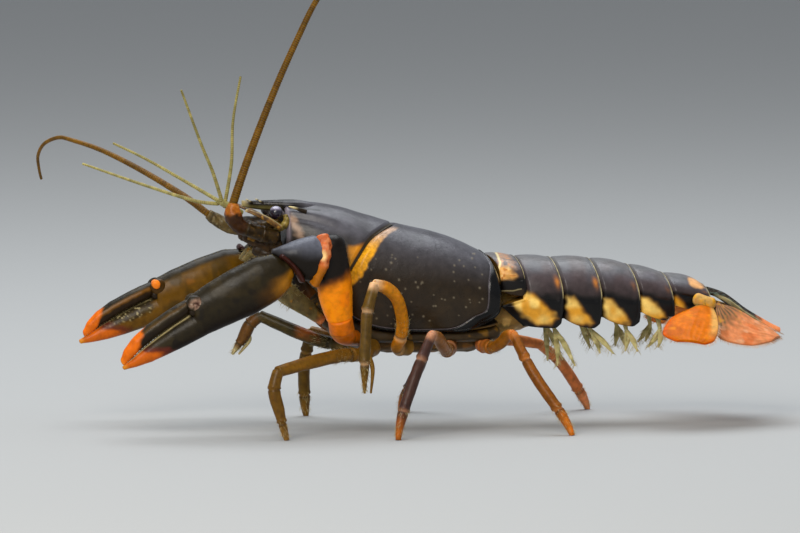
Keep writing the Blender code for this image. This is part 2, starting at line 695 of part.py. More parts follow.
# Walking legs: points from the breastplate up to the knee, then points from there down to the tip
LEG_ROUTES = {
    ("leg2", LEFT): (((-11.6, -5.8, 14.8), (-14.4, -9.2, 13.8), (-18.6, -13.0, 14.0), (-25.0, -17.8, 13.3),
                      (-31.6, -22.2, 12.1)),
                     ((-32.3, -22.8, 9.0), (-31.5, -23.2, 5.3), (-30.2, -24.0, 0.0))),
    ("leg3", LEFT): (((-5.4, -6.08, 14.8), (-7.6, -8.6, 14.9), (-7.2, -11.0, 17.2), (-7.3, -12.5, 20.5),
                      (-8.7, -15.0, 24.2), (-11.0, -17.0, 26.4), (-13.4, -18.0, 27.0)),
                     ((-14.8, -19.4, 22.6), (-15.2, -20.0, 18.6), (-15.5, -20.5, 13.7),
                      (-15.6, -20.9, 8.0))),
    ("leg4", LEFT): (((2.4, -5.8, 14.8), (1.4, -9.6, 14.2), (-0.4, -14.4, 15.8), (-1.8, -17.6, 17.4),
                      (-3.4, -20.2, 17.9)),
                     ((-6.3, -23.0, 12.4), (-9.7, -26.0, 4.2), (-10.6, -27.0, 0.0))),
    ("leg5", LEFT): (((8.6, -5.2, 15.0), (9.6, -8.4, 14.6), (10.8, -11.4, 15.6), (11.7, -13.6, 17.2),
                      (12.5, -15.2, 17.4)),
                     ((15.4, -19.6, 10.7), (20.0, -23.0, 3.4), (21.6, -24.0, 0.0))),
    ("leg2", RIGHT): (((-11.6, 5.85, 14.8), (-14.4, 8.2, 14.0), (-18.4, 11.0, 14.6), (-22.6, 13.6, 16.2),
                       (-28.4, 16.4, 18.7)),
                      ((-30.0, 16.8, 17.2), (-31.2, 17.0, 14.9), (-33.2, 17.2, 11.8))),
    ("leg3", RIGHT): (((-5.4, 6.08, 14.8), (-8.2, 9.4, 13.8), (-10.8, 11.8, 13.8), (-13.6, 13.8, 14.4),
                       (-18.9, 17.2, 15.6)),
                      ((-19.7, 19.2, 9.4), (-19.4, 20.4, 3.0), (-19.1, 20.8, 0.0))),
    ("leg4", RIGHT): (((2.4, 5.65, 14.8), (2.6, 9.4, 14.0), (3.0, 12.4, 14.2), (3.6, 16.0, 14.8),
                       (4.1, 20.2, 15.4)),
                      ((2.2, 23.4, 8.4), (-0.2, 25.4, 2.6), (-0.9, 26.0, 0.0))),
    ("leg5", RIGHT): (((8.6, 5.4, 15.0), (11.4, 8.8, 14.4), (14.8, 11.6, 14.1), (18.6, 14.0, 13.7),
                       (23.4, 17.2, 12.6)),
                      ((27.8, 20.6, 8.8), (32.2, 23.4, 2.6), (33.4, 24.2, 0.0))),
}
PINCHER_LEGS = ("leg2", "leg3")
HANGING_LEGS = (("leg3", LEFT), ("leg2", RIGHT))
UPPER_SIZE = {"leg2": 2.3, "leg3": 2.2, "leg4": 2.1, "leg5": 2.0}
LOWER_SIZE = {"leg2": 2.0, "leg3": 1.9, "leg4": 1.9, "leg5": 1.8}


def leg_sizes(leg, upper_count, lower_count, stands):
    """Widths along a leg, stout at its root and slimmer at each joint and at the tip."""
    size, low_size = UPPER_SIZE[leg], LOWER_SIZE[leg]
    widths = [size * 1.45, size] + [size] * (upper_count - 3) + [size * 0.85]
    widths += [low_size * 1.08] + [low_size] * (lower_count - 2)
    widths.append(0.95 if stands else 0.5)
    return [(width, width * 1.05) for width in widths]


def leg_halves(leg, side):
    """A leg as two solids, parted by a thin gap across its knee."""
    points, lower_points = LEG_ROUTES[leg, side]
    path = [vec(*p) for p in points + lower_points]
    bend = len(points) - 1
    stands = (leg, side) not in HANGING_LEGS
    sizes = leg_sizes(leg, len(points), len(lower_points), stands)
    forward = (path[bend + 1] - path[bend - 1]).normalized()
    before, after = path[bend] - forward * GAP / 2, path[bend] + forward * GAP / 2
    hinge = (path[bend] - path[0]).cross(path[-1] - path[bend]).normalized()
    upper = limb(path[:bend] + [before], sizes[:bend + 1], hinge, last_tangent=forward)
    lower = limb([after] + path[bend + 1:], sizes[bend:], hinge, first_tangent=forward,
                 last_tangent=vec(0, 0, -1) if stands else None)
    if leg in PINCHER_LEGS and not stands:
        lower = fuse([lower, pincer_finger(path, LOWER_SIZE[leg])])
    return upper, lower


def pincer_finger(path, size):
    """The moving finger of a leg's pincer, beside the fixed one."""
    palm_end, tip = path[-2], path[-1]
    side = vec(1, 0, 0) * size * 0.75
    root = palm_end.lerp(path[-3], 0.25) + side * 0.3
    line = [root, palm_end.lerp(tip, 0.25) + side, tip + side * 0.8]
    return limb(line, [(1.0, 1.0), (0.9, 0.8), (0.4, 0.4)], vec(0, 1, 0), sides=6)


def lean_back(depth):
    """How far a segment's margins lean back at a depth below the back's midline."""
    lean = SEGMENT_SWEEP * math.sin(min(1.0, depth / LEAN_DEPTH) * math.pi / 2)
    return lean - TIP_SLOPE * max(0.0, depth - TIP_DEPTH)


def segment_x(index, along, share, y, depth):
    """The place along the body of a point of one abdominal segment."""
    front = SEGMENT_ENDS[index] + GAP + 0.1 + lean_back(depth)
    if index == 0:
        front = SEGMENT_ENDS[0] + 0.222 * abs(y) + 0.07 * min(depth, LEAN_DEPTH)
    if index == 1 and abs(share) > BACK_SHARE + 0.01:
        begin, greatest = FLAP_DEPTHS
        reach = min(1.0, max(0.0, (depth - begin) / (greatest - begin)))
        front -= FLAP_REACH * reach - FLAP_SLOPE * max(0.0, depth - greatest)
    rear = SEGMENT_ENDS[index + 1] + lean_back(depth)
    return front + (rear - front) * along


def pleuron_low(index, along):
    """The side plates' lower edge, cut away in front and rounded behind."""
    behind = max(0.0, (along - 0.8) / 0.2)
    return PLEURON_LOW[index] + PLEURON_CUT[index] * (1 - along) ** 2.2 + 0.9 * behind**2


def abdomen_segment(index):
    """One ring of the abdomen: an arched plate with its side plates, closed below."""
    outer, inner = [], []
    for along, inset in ((0.0, 0.25), (0.12, 0.0), (0.35, -0.1), (0.65, -0.15), (0.9, -0.15), (1.0, 0.05)):
        middle = SEGMENT_ENDS[index] + (SEGMENT_ENDS[index + 1] - SEGMENT_ENDS[index]) * along
        top = station_value(ABDOMEN, middle, 1)
        half = station_value(ABDOMEN, middle, 2)
        low = pleuron_low(index, along)
        outer_row, inner_row = [], []
        for share in flank_columns():
            crest = arch_point(0, share, top, low, half, half - 0.4, inset)
            crest.x = segment_x(index, along, share, crest.y, top - crest.z)
            hollow = hollow_point(0, share, top, low, half)
            hollow.x = segment_x(index, along, share, hollow.y, top - hollow.z)
            outer_row.append(crest)
            inner_row.append(hollow)
        outer.append(outer_row)
        inner.append(inner_row)
    return closed_sheet(outer, inner)


def belly_height(top, low):
    """Height of the abdomen's belly between its side plates."""
    return low + BELLY_SHARE * (top - low)


def hollow_point(x, share, top, low, half):
    """The belly's underside: level across, then down the inside of the side plates."""
    t = abs(share)
    side = -1 if share < 0 else 1
    belly = belly_height(top, low)
    if t <= BACK_SHARE:
        return vec(x, (half - PLATE_THICKNESS) * t / BACK_SHARE * side, belly)
    s = (t - BACK_SHARE) / (1 - BACK_SHARE)
    return vec(x, (half - PLATE_THICKNESS + 0.7 * s) * side, belly - (belly - low - 0.15) * s)


def telson():
    """The middle blade of the tail fan."""
    rows = ((50.75, 3.5, 23.6), (53.4, 4.2, 22.3), (56.7, 4.3, 20.1), (59.4, 4.2, 18.5),
            (62.2, 3.6, 16.8), (63.8, 1.9, 16.0))
    edges = [[vec(x, -y, z), vec(x, y, z)] for x, y, z in rows]
    return plate(edges, 0.5, (1.2, 1.3, 1.2, 1.0, 0.8, 0.6), columns=7)


PROTOPOD = (48.9, 7.45, 22.1)
EXOPOD_ROWS = (((48.0, 7.4, 21.8), (50.2, 7.6, 21.4)), ((45.4, 9.6, 20.5), (50.6, 10.2, 19.5)),
               ((42.2, 12.6, 18.9), (50.2, 13.2, 17.6)), ((39.7, 15.7, 17.1), (48.9, 16.3, 15.9)),
               ((41.6, 17.4, 16.0), (47.0, 17.9, 15.4)))
ENDOPOD_ROWS = (((51.3, 5.0, 21.4), (50.7, 7.3, 21.2)), ((54.8, 4.8, 20.65), (52.8, 9.6, 18.2)),
                ((58.4, 4.7, 18.4), (54.6, 12.0, 15.7)), ((61.4, 5.0, 16.7), (58.0, 11.4, 14.8)),
                ((62.9, 6.3, 15.4), (60.6, 9.6, 14.9)))
FAR_SWING = 20.0               # the right exopod is folded back by this many degrees


def swung(point, side):
    """An exopod point, turned back about the uropod's root on the right side."""
    if side == LEFT:
        return mirrored(point, side)
    root = vec(*PROTOPOD)
    turn = Matrix.Rotation(math.radians(-FAR_SWING), 3, "Z")
    return root + turn @ (vec(*point) - root)


def exopod(side):
    """The outer blade of the tail fan and the knob that it turns on."""
    rows = [[swung(a, side), swung(b, side)] for a, b in EXOPOD_ROWS]
    blade = plate(rows, 0.35, (1.1, 1.0, 0.9, 0.7, 0.55), columns=6)
    return fuse([blade, ball(mirrored(PROTOPOD, side), 1.25, segments=10, rings=6)])


def endopod(side):
    """The inner blade of the tail fan."""
    rows = [[mirrored(a, side), mirrored(b, side)] for a, b in ENDOPOD_ROWS]
    return plate(rows, 0.35, (1.1, 1.0, 0.9, 0.7, 0.55), columns=6)


# Swimmerets: segment, x of the pair's root, how far back each of its two blades hangs, and tip height
PLEOPODS = ((2, 21.0, (1.4, 4.4), 10.8), (3, 27.6, (2.6, 4.8), 12.9), (4, 34.2, (0.6, 2.6), 13.2),
            (5, 40.4, (-1.4, 0.2), 13.9))
PLEOPOD_SPREAD = 4.3
BAR_THICKNESS = 0.9


def pleopod_pair(number, x, hangs, tip_z):
    """Two forked swimmerets on the bar that crosses the belly."""
    front, rear = SEGMENT_ENDS[number - 1], SEGMENT_ENDS[number]
    low = pleuron_low(number - 1, (x - front) / (rear - front))
    bar_z = belly_height(station_value(ABDOMEN, x, 1), low) - GAP - BAR_THICKNESS / 2
    bar = limb([vec(x, -PLEOPOD_SPREAD, bar_z), vec(x, 0, bar_z), vec(x, PLEOPOD_SPREAD, bar_z)],
               [(1.1, BAR_THICKNESS)] * 3, vec(1, 0, 0), sides=6)
    pieces = [bar]
    for side in (LEFT, RIGHT):
        root = vec(x, side * PLEOPOD_SPREAD, bar_z)
        fork = root + vec(0.8, side * 0.4, -4.0)
        pieces.append(limb([root, fork], [(1.3, 1.0), (1.2, 0.9)], vec(1, 0, 0), sides=6))
        for k, hang in enumerate(hangs):
            tip = vec(x + hang, side * (PLEOPOD_SPREAD + 0.6 + 1.2 * k), tip_z)
            line = [fork, fork.lerp(tip, 0.5) + vec(0.2, side * 0.3, 0), tip]
            pieces.append(limb(line, [(1.0, 0.7), (1.5, 0.7), (0.6, 0.5)], vec(1, 0, 0), sides=6))
    return fuse(pieces)


def build():
    clear_scene()
    parts = make_collection("cherax_crayfish")
    shell = make_material("shell", SHELL, 0.3)
    brown = make_material("shell_brown", SHELL_BROWN, 0.45)
    claw = make_material("claw_shell", CLAW, 0.4)
    orange = make_material("orange_joint", ORANGE, 0.4)
    leg_brown = make_material("leg_shell", LEG_BROWN, 0.4)
    feeler_orange = make_material("feeler", FEELER_ORANGE, 0.5)
    olive = make_material("soft_olive", OLIVE, 0.6)
    black = make_material("eye", EYE_BLACK, 0.1)
    pink = make_material("tail_fan", FAN_PINK, 0.4)

    def add(name, piece, material):
        finish_node(piece, name, material, parts)

    add("carapace_head", carapace_head(), shell)
    add("carapace_thorax", carapace_thorax(), shell)
    add("underside", underside(), olive)
    add("face", face_block(), brown)
    for index in range(len(PLEURON_LOW)):
        add(f"abdomen_{index + 1}", abdomen_segment(index), shell)
    add("telson", telson(), shell)
    for number, x, hangs, tip_z in PLEOPODS:
        add(f"swimmerets_{number}", pleopod_pair(number, x, hangs, tip_z), olive)
    for side in (LEFT, RIGHT):
        word = SIDE_NAMES[side]
        add(f"maxilliped_{word}", maxilliped(side), brown)
        add(f"eye_{word}", eye(side), black)
        add(f"antennal_scale_{word}", antennal_scale(side), brown)
        add(f"antenna_base_{word}", antenna_base(side), feeler_orange)
        first, second = whip_parts(side)
        add(f"antenna_{word}_1", first, feeler_orange)
        add(f"antenna_{word}_2", second, feeler_orange)
        add(f"antennule_{word}", antennule(side), feeler_orange)
        add(f"claw_ischium_{word}", arm_segment(side, "ischium"), orange)
        add(f"claw_merus_{word}", arm_segment(side, "merus"), orange)
        add(f"claw_carpus_{word}", arm_segment(side, "carpus"), claw)
        add(f"claw_palm_{word}", palm(side), claw)
        add(f"claw_dactyl_{word}", dactyl(side), claw)
        for leg in UPPER_SIZE:
            upper, lower = leg_halves(leg, side)
            add(f"{leg}_upper_{word}", upper, leg_brown)
            add(f"{leg}_lower_{word}", lower, leg_brown)
        add(f"exopod_{word}", exopod(side), pink)
        add(f"endopod_{word}", endopod(side), pink)


build()
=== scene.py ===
"""The looks of a life-size crayfish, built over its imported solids.

Sizes are in millimetres and become metres as each mesh is made. The shapes repeat the CAD
source's driving dimensions, with finer relief. The head points to -X and the near side is -Y.
"""
import math

import bpy
import numpy as np
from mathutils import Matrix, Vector


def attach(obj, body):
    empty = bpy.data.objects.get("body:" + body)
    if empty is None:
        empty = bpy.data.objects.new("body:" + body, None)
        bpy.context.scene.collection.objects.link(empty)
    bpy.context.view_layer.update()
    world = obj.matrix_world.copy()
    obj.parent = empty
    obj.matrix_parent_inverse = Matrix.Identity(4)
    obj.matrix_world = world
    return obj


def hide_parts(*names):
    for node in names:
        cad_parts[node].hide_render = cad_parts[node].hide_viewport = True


MM = 0.001
ORIGIN = np.array([0.87, -6.85, 0.0])   # added to every point, as in the CAD
LEFT, RIGHT = -1, 1
SIDES = {LEFT: "left", RIGHT: "right"}
GAP = 0.3                       # clearance between neighbouring solids
SEED = 20

# The view: millimetres per pixel of the photo, the pixel where the model's origin lands,
# and what a point's x, y and z add to its place across and up
PIXEL = 0.18
ORIGIN_PIXEL = (430.0, 425.0)
VIEW_ACROSS = (0.985, -0.174)
VIEW_UP = (0.0151, 0.0858, 0.996)

FAR_AWAY = 1e6                  # a distance greater than any on the model
GOLDEN_SHARE = 0.61803          # steps of this share of a whole never fall into a pattern


def srgb(red, green, blue):
    """A colour given in the usual 0 to 255 values, as linear light."""
    value = np.array([red, green, blue]) / 255.0
    return np.where(value <= 0.04045, value / 12.92, ((value + 0.055) / 1.055) ** 2.4)


# Colours of the animal
BLACK = srgb(20, 14, 9)
BROWN_BLACK = srgb(38, 28, 15)
SLATE = srgb(84, 82, 88)
LILAC = srgb(146, 136, 146)
OLIVE_BROWN = srgb(72, 60, 34)
OLIVE = srgb(126, 112, 58)
OCHRE = srgb(178, 128, 44)
YELLOW = srgb(240, 172, 48)
ORANGE = srgb(252, 130, 4)
HOT_ORANGE = srgb(220, 104, 2)
PINK_ORANGE = srgb(242, 138, 78)
PINK_CREAM = srgb(226, 184, 150)
CREAM = srgb(226, 206, 148)
TAN = srgb(146, 94, 16)
DARK_RED = srgb(96, 36, 24)
FEELER = srgb(112, 78, 12)
PALE_OLIVE = srgb(156, 146, 88)


# Numbers over arrays

def soft(value, low, high):
    """0 below low, 1 above high and smooth between them."""
    t = np.clip((value - low) / (high - low), 0.0, 1.0)
    return t * t * (3 - 2 * t)


def hump(value, middle, width):
    """1 at the middle, falling off smoothly to the sides."""
    return np.exp(-((value - middle) / width) ** 2)


def curve_value(table, x, column):
    """A smooth curve through one column of a table of stations, at an array of places."""
    table = np.array(table, dtype=float)
    xs, ys = table[:, 0], table[:, column]
    slopes = np.gradient(ys, xs)
    slopes[1:-1] = (ys[2:] - ys[:-2]) / (xs[2:] - xs[:-2])
    x = np.clip(x, xs[0], xs[-1])
    i = np.clip(np.searchsorted(xs, x, side="right") - 1, 0, len(xs) - 2)
    span = xs[i + 1] - xs[i]
    u = (x - xs[i]) / span
    return ((2 * u**3 - 3 * u**2 + 1) * ys[i] + (u**3 - 2 * u**2 + u) * span * slopes[i]
            + (3 * u**2 - 2 * u**3) * ys[i + 1] + (u**3 - u**2) * span * slopes[i + 1])


def scrambled(ix, iy, iz, seed):
    """A repeatable number from 0 to 1 for each cell of a lattice."""
    n = (ix * 374761393 + iy * 668265263 + iz * 1440662683 + seed * 1274126177) & 0xFFFFFFFF
    n = ((n ^ (n >> 13)) * 1274126177) & 0xFFFFFFFF
    return ((n ^ (n >> 16)) & 0xFFFF) / 65535.0


def noise(points, size, seed=0):
    """Smooth noise from -1 to 1 with lumps about size millimetres across; the seed sets its pattern."""
    cell = points / size
    base = np.floor(cell).astype(np.int64)
    part = cell - base
    part = part * part * (3 - 2 * part)
    total = np.zeros(points.shape[:-1])
    for dx in (0, 1):
        for dy in (0, 1):
            for dz in (0, 1):
                weight = np.ones(points.shape[:-1])
                for axis, step in enumerate((dx, dy, dz)):
                    weight = weight * (part[..., axis] if step else 1 - part[..., axis])
                total += weight * scrambled(base[..., 0] + dx, base[..., 1] + dy, base[..., 2] + dz, seed)
    return 2 * total - 1


def texture(points, *scales):
    """Several noises together, each given as its height, its size and its seed."""
    return sum(height * noise(points, size, seed) for height, size, seed in scales)


def blend(colour, other, mask):
    """colour where the mask is 0 and other where it is 1."""
    mask = np.clip(mask, 0.0, 1.0)[..., None]
    return colour * (1 - mask) + other * mask


def layered(tint, *layers):
    """A tint with others laid over it in turn, each given as its colour and its mask."""
    for colour, mask in layers:
        tint = blend(tint, colour, mask)
    return tint


def mottled(points, colours, size, seed=0):
    """Three colours blended by noise: the first is the commonest."""
    first, second, third = colours
    return layered(first, (second, soft(noise(points, size, seed), 0.1, 0.5)),
                   (third, soft(noise(points, size * 0.7, seed + 7), 0.35, 0.6)))


def in_view(points, both_sides=True):
    """Where points land in the photo, the far side's points moved to the near side first."""
    x, y, z = points[..., 0], points[..., 1], points[..., 2]
    y = -np.abs(y) if both_sides else y
    u = VIEW_ACROSS[0] * x + VIEW_ACROSS[1] * y
    v = VIEW_UP[2] * z + VIEW_UP[0] * x + VIEW_UP[1] * y
    return ORIGIN_PIXEL[0] + u / PIXEL, ORIGIN_PIXEL[1] - v / PIXEL


def spot(points, centre, radius, edge=0.4, both_sides=True):
    """A soft-edged oval mark; centre and radius are photo pixels."""
    px, py = in_view(points, both_sides)
    reach = np.hypot((px - centre[0]) / radius[0], (py - centre[1]) / radius[1])
    return 1 - soft(reach, 1 - edge, 1 + edge)


def patch(points, corners, edge=1.5, wobble=1.2, both_sides=True):
    """A soft-edged patch between corners given in photo pixels."""
    px, py = in_view(points, both_sides)
    px = px + wobble * noise(points, 0.9, 3)
    py = py + wobble * noise(points, 0.9, 4)
    nearest = np.full(px.shape, FAR_AWAY)
    within = np.zeros(px.shape, dtype=bool)
    for (x0, y0), (x1, y1) in zip(corners, corners[1:] + corners[:1]):
        nearest = np.minimum(nearest, line_distance(px, py, (x0, y0), (x1, y1)))
        if y0 != y1:
            crossing = x0 + (x1 - x0) * (py - y0) / (y1 - y0)
            within ^= ((y0 > py) != (y1 > py)) & (px < crossing)
    return soft(np.where(within, nearest, -nearest), -edge, edge)


def line_distance(px, py, start, end):
    """Distance in pixels from points of the view to a straight line."""
    dx, dy = end[0] - start[0], end[1] - start[1]
    t = np.clip(((px - start[0]) * dx + (py - start[1]) * dy) / (dx * dx + dy * dy), 0, 1)
    return np.hypot(px - start[0] - t * dx, py - start[1] - t * dy)


def stroke(points, line, width, edge=1.0, wobble=0.6, both_sides=True):
    """A soft-edged line through places given in photo pixels."""
    px, py = in_view(points, both_sides)
    px = px + wobble * noise(points, 0.7, 5)
    py = py + wobble * noise(points, 0.7, 6)
    nearest = np.full(px.shape, FAR_AWAY)
    for start, end in zip(line, line[1:]):
        nearest = np.minimum(nearest, line_distance(px, py, start, end))
    return 1 - soft(nearest, width / 2 - edge / 2, width / 2 + edge / 2)


def smooth_line(points, spacing):
    """A curve through the given points, with points about the given spacing apart."""
    points = np.array(points, dtype=float)
    line = []
    for i in range(len(points) - 1):
        a, b = points[max(i - 1, 0)], points[i]
        c, d = points[i + 1], points[min(i + 2, len(points) - 1)]
        steps = max(2, int(np.linalg.norm(c - b) / spacing))
        for t in np.arange(steps) / steps:
            line.append(0.5 * (2 * b + (c - a) * t + (2 * a - 5 * b + 4 * c - d) * t**2
                               + (3 * b - a - 3 * c + d) * t**3))
    line.append(points[-1])
    return np.array(line)


def lengths_along(line):
    """The distance travelled to each point of a line."""
    steps = np.linalg.norm(np.diff(line, axis=0), axis=1)
    return np.concatenate([[0.0], np.cumsum(steps)])


def unit(vectors):
    """Vectors brought to length 1."""
    return vectors / np.maximum(np.linalg.norm(vectors, axis=-1, keepdims=True), 1e-9)


def side_of(share):
    """-1 on the near side and 1 on the far side."""
    return np.where(share < 0, -1.0, 1.0)


def mirrored(points, side):
    """Points of the far side, given as tuples, for the side asked for."""
    return np.array(points, dtype=float) * np.array([1, side, 1])


def height_at(table, place, column):
    """The straight-line value of a column of a table of stations."""
    return np.interp(place, [row[0] for row in table], [row[column] for row in table])


def shares_along(rings):
    """The share of the way from the first ring to the last, for each point."""
    return np.linspace(0, 1, len(rings))[:, None] + np.zeros(rings.shape[:2])


# Meshes

DOME_ANGLES = (0.35, 0.7, 1.05, 1.35)   # of the rows that close an end, from its edge inwards
END_ROWS = len(DOME_ANGLES)
BODY = slice(END_ROWS, -END_ROWS)       # the rows between the two closed ends
HAIR_STEPS = ((0.0, 1.0), (0.4, 0.85), (0.75, 0.5), (1.0, 0.12))    # share of its length, thickness
HAIR_SIDES = 3
HAIR_POINTS = len(HAIR_STEPS) * HAIR_SIDES
HAIR_ROUGHNESS = 0.45
BAKE_EDGE = 0.02                # share of the baked picture that stays free along its edges
BAKE_TURN, BAKE_RADIUS = 2.1, 0.0015    # how a hair's points stand round its place in that picture
DARKEST, SMOOTHEST = 0.002, 0.05        # no colour is darker and no skin smoother


class Form:
    """Closed skins gathered into one piece, with a colour and a roughness at every point."""

    def __init__(self):
        self.points, self.tints, self.roughs = [], [], []
        self.quads, self.triangles, self.bake_places = [], [], []
        self.count = 0

    def keep(self, points, tints, roughs, quads, triangles):
        """Adds one skin's points and faces to those gathered before."""
        self.points.append(points)
        self.tints.append(tints)
        self.roughs.append(roughs)
        self.quads.append(quads + self.count)
        self.triangles.append(triangles + self.count)
        self.count += len(points)

    def add(self, rings, paint, start=0.3, end=0.3):
        """Adds a tube of rings. start and end say how far each end bulges, as a share of its radius."""
        rings, along = self.with_ends(rings, start, end)
        rows, sides = rings.shape[:2]
        around = np.arange(sides) / sides
        tint, rough = paint(rings, np.repeat(along[:, None], sides, 1), np.repeat(around[None], rows, 0))
        points = np.concatenate([rings.reshape(-1, 3), [rings[0].mean(axis=0), rings[-1].mean(axis=0)]])
        tints = (tint + np.zeros(rings.shape)).reshape(-1, 3)
        roughs = (rough + np.zeros(rings.shape[:2])).ravel()
        row, column = np.meshgrid(np.arange(rows - 1), np.arange(sides), indexing="ij")
        a = (row * sides + column).ravel()
        b = (row * sides + (column + 1) % sides).ravel()
        quads = np.stack([a, b, b + sides, a + sides], axis=1)
        c = np.arange(sides)
        beside = (c + 1) % sides
        pole, last = np.full(sides, rows * sides), (rows - 1) * sides
        triangles = np.concatenate([np.stack([beside, c, pole], axis=1),
                                    np.stack([last + c, last + beside, pole + 1], axis=1)])
        if self.volume(points, quads) < 0:
            quads, triangles = quads[:, ::-1], triangles[:, ::-1]
        self.keep(points, np.concatenate([tints, tints[:1], tints[-1:]]),
                  np.concatenate([roughs, roughs[:1], roughs[-1:]]), quads, triangles)

    @staticmethod
    def with_ends(rings, start, end):
        """The rings with smaller ones beyond each end, so that it closes in a dome, and their shares."""
        def dome(edge, inner, bulge):
            centre = edge.mean(axis=0)
            outward = unit(centre - inner.mean(axis=0))
            reach = np.linalg.norm(edge - centre, axis=1).min() * bulge
            return [centre + (edge - centre) * math.cos(a) + outward * reach * math.sin(a)
                    for a in DOME_ANGLES]
        first = dome(rings[0], rings[1], start)[::-1]
        last = dome(rings[-1], rings[-2], end)
        along = np.concatenate([np.zeros(END_ROWS), np.linspace(0.0, 1.0, len(rings)), np.ones(END_ROWS)])
        return np.concatenate([np.array(first), rings, np.array(last)]), along

    @staticmethod
    def volume(points, quads):
        """A number whose sign tells whether the faces look outward."""
        p = points[quads] - points.mean(axis=0)
        return sum(np.einsum("ij,ij->i", p[:, 0], np.cross(p[:, k], p[:, k + 1])) for k in (1, 2)).sum()

    def hairs(self, roots, directions, lengths, thickness, tint, droop=0.0):
        """Adds one tapering three-sided hair for each root, with a small place of its own to bake in."""
        roots, directions = np.array(roots, dtype=float), unit(np.array(directions, dtype=float))
        count = len(roots)
        if count == 0:
            return
        lengths = np.broadcast_to(lengths, count)[:, None]
        helper = np.where(np.abs(directions[:, 2:3]) > 0.9, [[1.0, 0, 0]], [[0, 0, 1.0]])
        side = unit(np.cross(directions, helper))
        up = np.cross(side, directions)
        rings = []
        for share, scale in HAIR_STEPS:
            centre = roots + directions * lengths * share + np.array([0, 0, -droop]) * lengths * share**2
            for k in range(HAIR_SIDES):
                angle = 2 * math.pi * k / HAIR_SIDES
                outward = side * math.cos(angle) + up * math.sin(angle)
                rings.append(centre + outward * thickness / 2 * scale)
        quads = []
        for level in range(0, HAIR_POINTS - HAIR_SIDES, HAIR_SIDES):
            for k in range(HAIR_SIDES):
                a, b = level + k, level + (k + 1) % HAIR_SIDES
                quads.append((a, b, b + HAIR_SIDES, a + HAIR_SIDES))
        ends = [(2, 1, 0), (HAIR_POINTS - 3, HAIR_POINTS - 2, HAIR_POINTS - 1)]
        each = np.arange(count)[:, None, None] * HAIR_POINTS
        shade = 0.85 + 0.3 * scrambled(np.arange(count), 0, 0, SEED)[:, None, None]
        tints = tint * shade + np.zeros((count, HAIR_POINTS, 3))
        self.keep(np.stack(rings, axis=1).reshape(-1, 3), tints.reshape(-1, 3),
                  np.full(count * HAIR_POINTS, HAIR_ROUGHNESS), (np.array([quads]) + each).reshape(-1, 4),
                  (np.array([ends]) + each).reshape(-1, 3))
        steps = np.arange(count)
        places = np.stack([steps * GOLDEN_SHARE % 1.0, steps / count], axis=1)
        middle = BAKE_EDGE + (1 - 2 * BAKE_EDGE) * places
        angle = BAKE_TURN * np.arange(HAIR_POINTS)
        corner = np.stack([np.cos(angle), np.sin(angle)], axis=1) * BAKE_RADIUS
        self.bake_places.append((middle[:, None] + corner[None]).reshape(-1, 2))

    def make(self, name, material, nodes, slot):
        """The piece itself, standing for its CAD nodes."""
        points = np.concatenate(self.points)
        quads = np.concatenate(self.quads)
        triangles = np.concatenate(self.triangles)
        corners = np.concatenate([quads.ravel(), triangles.ravel()])
        starts = np.concatenate([np.arange(len(quads)) * 4, quads.size + np.arange(len(triangles)) * 3])
        mesh = bpy.data.meshes.new(name)
        mesh.vertices.add(len(points))
        mesh.vertices.foreach_set("co", ((points + ORIGIN) * MM).ravel())
        mesh.loops.add(len(corners))
        mesh.loops.foreach_set("vertex_index", corners.astype(np.int32))
        mesh.polygons.add(len(starts))
        mesh.polygons.foreach_set("loop_start", starts.astype(np.int32))
        mesh.update(calc_edges=True)
        tints = np.clip(np.concatenate(self.tints), DARKEST, 1.0)
        colour = mesh.attributes.new("tint", "FLOAT_COLOR", "POINT")
        colour.data.foreach_set("color", np.pad(tints, ((0, 0), (0, 1)), constant_values=1.0).ravel())
        rough = mesh.attributes.new("rough", "FLOAT", "POINT")
        rough.data.foreach_set("value", np.clip(np.concatenate(self.roughs), SMOOTHEST, 1.0))
        if self.bake_places:
            layer = mesh.uv_layers.new(name="OFBake")
            layer.data.foreach_set("uv", np.concatenate(self.bake_places)[corners].ravel())
        mesh.shade_smooth()
        mesh.materials.append(material)
        piece = bpy.data.objects.new(name, mesh)
        bpy.context.scene.collection.objects.link(piece)
        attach(piece, "root")
        if nodes:
            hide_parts(*nodes)


def plain(tint, rough=0.4):
    """Paint of one colour with a little mottling."""
    def paint(points, along, around):
        return tint * (1 + 0.12 * noise(points, 0.5, 9))[..., None], rough
    return paint


def speckled(colours, size, seed, rough):
    """Paint of three mottled colours."""
    def paint(points, along, around):
        return mottled(points, colours, size, seed), rough
    return paint


def turns(sides, squareness):
    """The cosine and sine of each of a ring's points, pressed towards a square."""
    angle = 2 * math.pi * np.arange(sides) / sides
    return [np.sign(v) * np.abs(v) ** squareness for v in (np.cos(angle), np.sin(angle))]


def tube(line, widths, depths, across, sides=24, squareness=1.0):
    """Rings of a bent rod: a width along the direction across, and a depth at right angles to it."""
    tangents = unit(np.gradient(line, axis=0))
    across = unit(np.broadcast_to(np.array(across, dtype=float), line.shape))
    side = unit(across - tangents * np.sum(across * tangents, axis=1, keepdims=True))
    up = np.cross(tangents, side)
    c, s = turns(sides, squareness)
    widths = np.broadcast_to(widths, len(line))[:, None, None]
    depths = np.broadcast_to(depths, len(line))[:, None, None]
    return (line[:, None] + side[:, None] * c[None, :, None] * widths / 2
            + up[:, None] * s[None, :, None] * depths / 2)


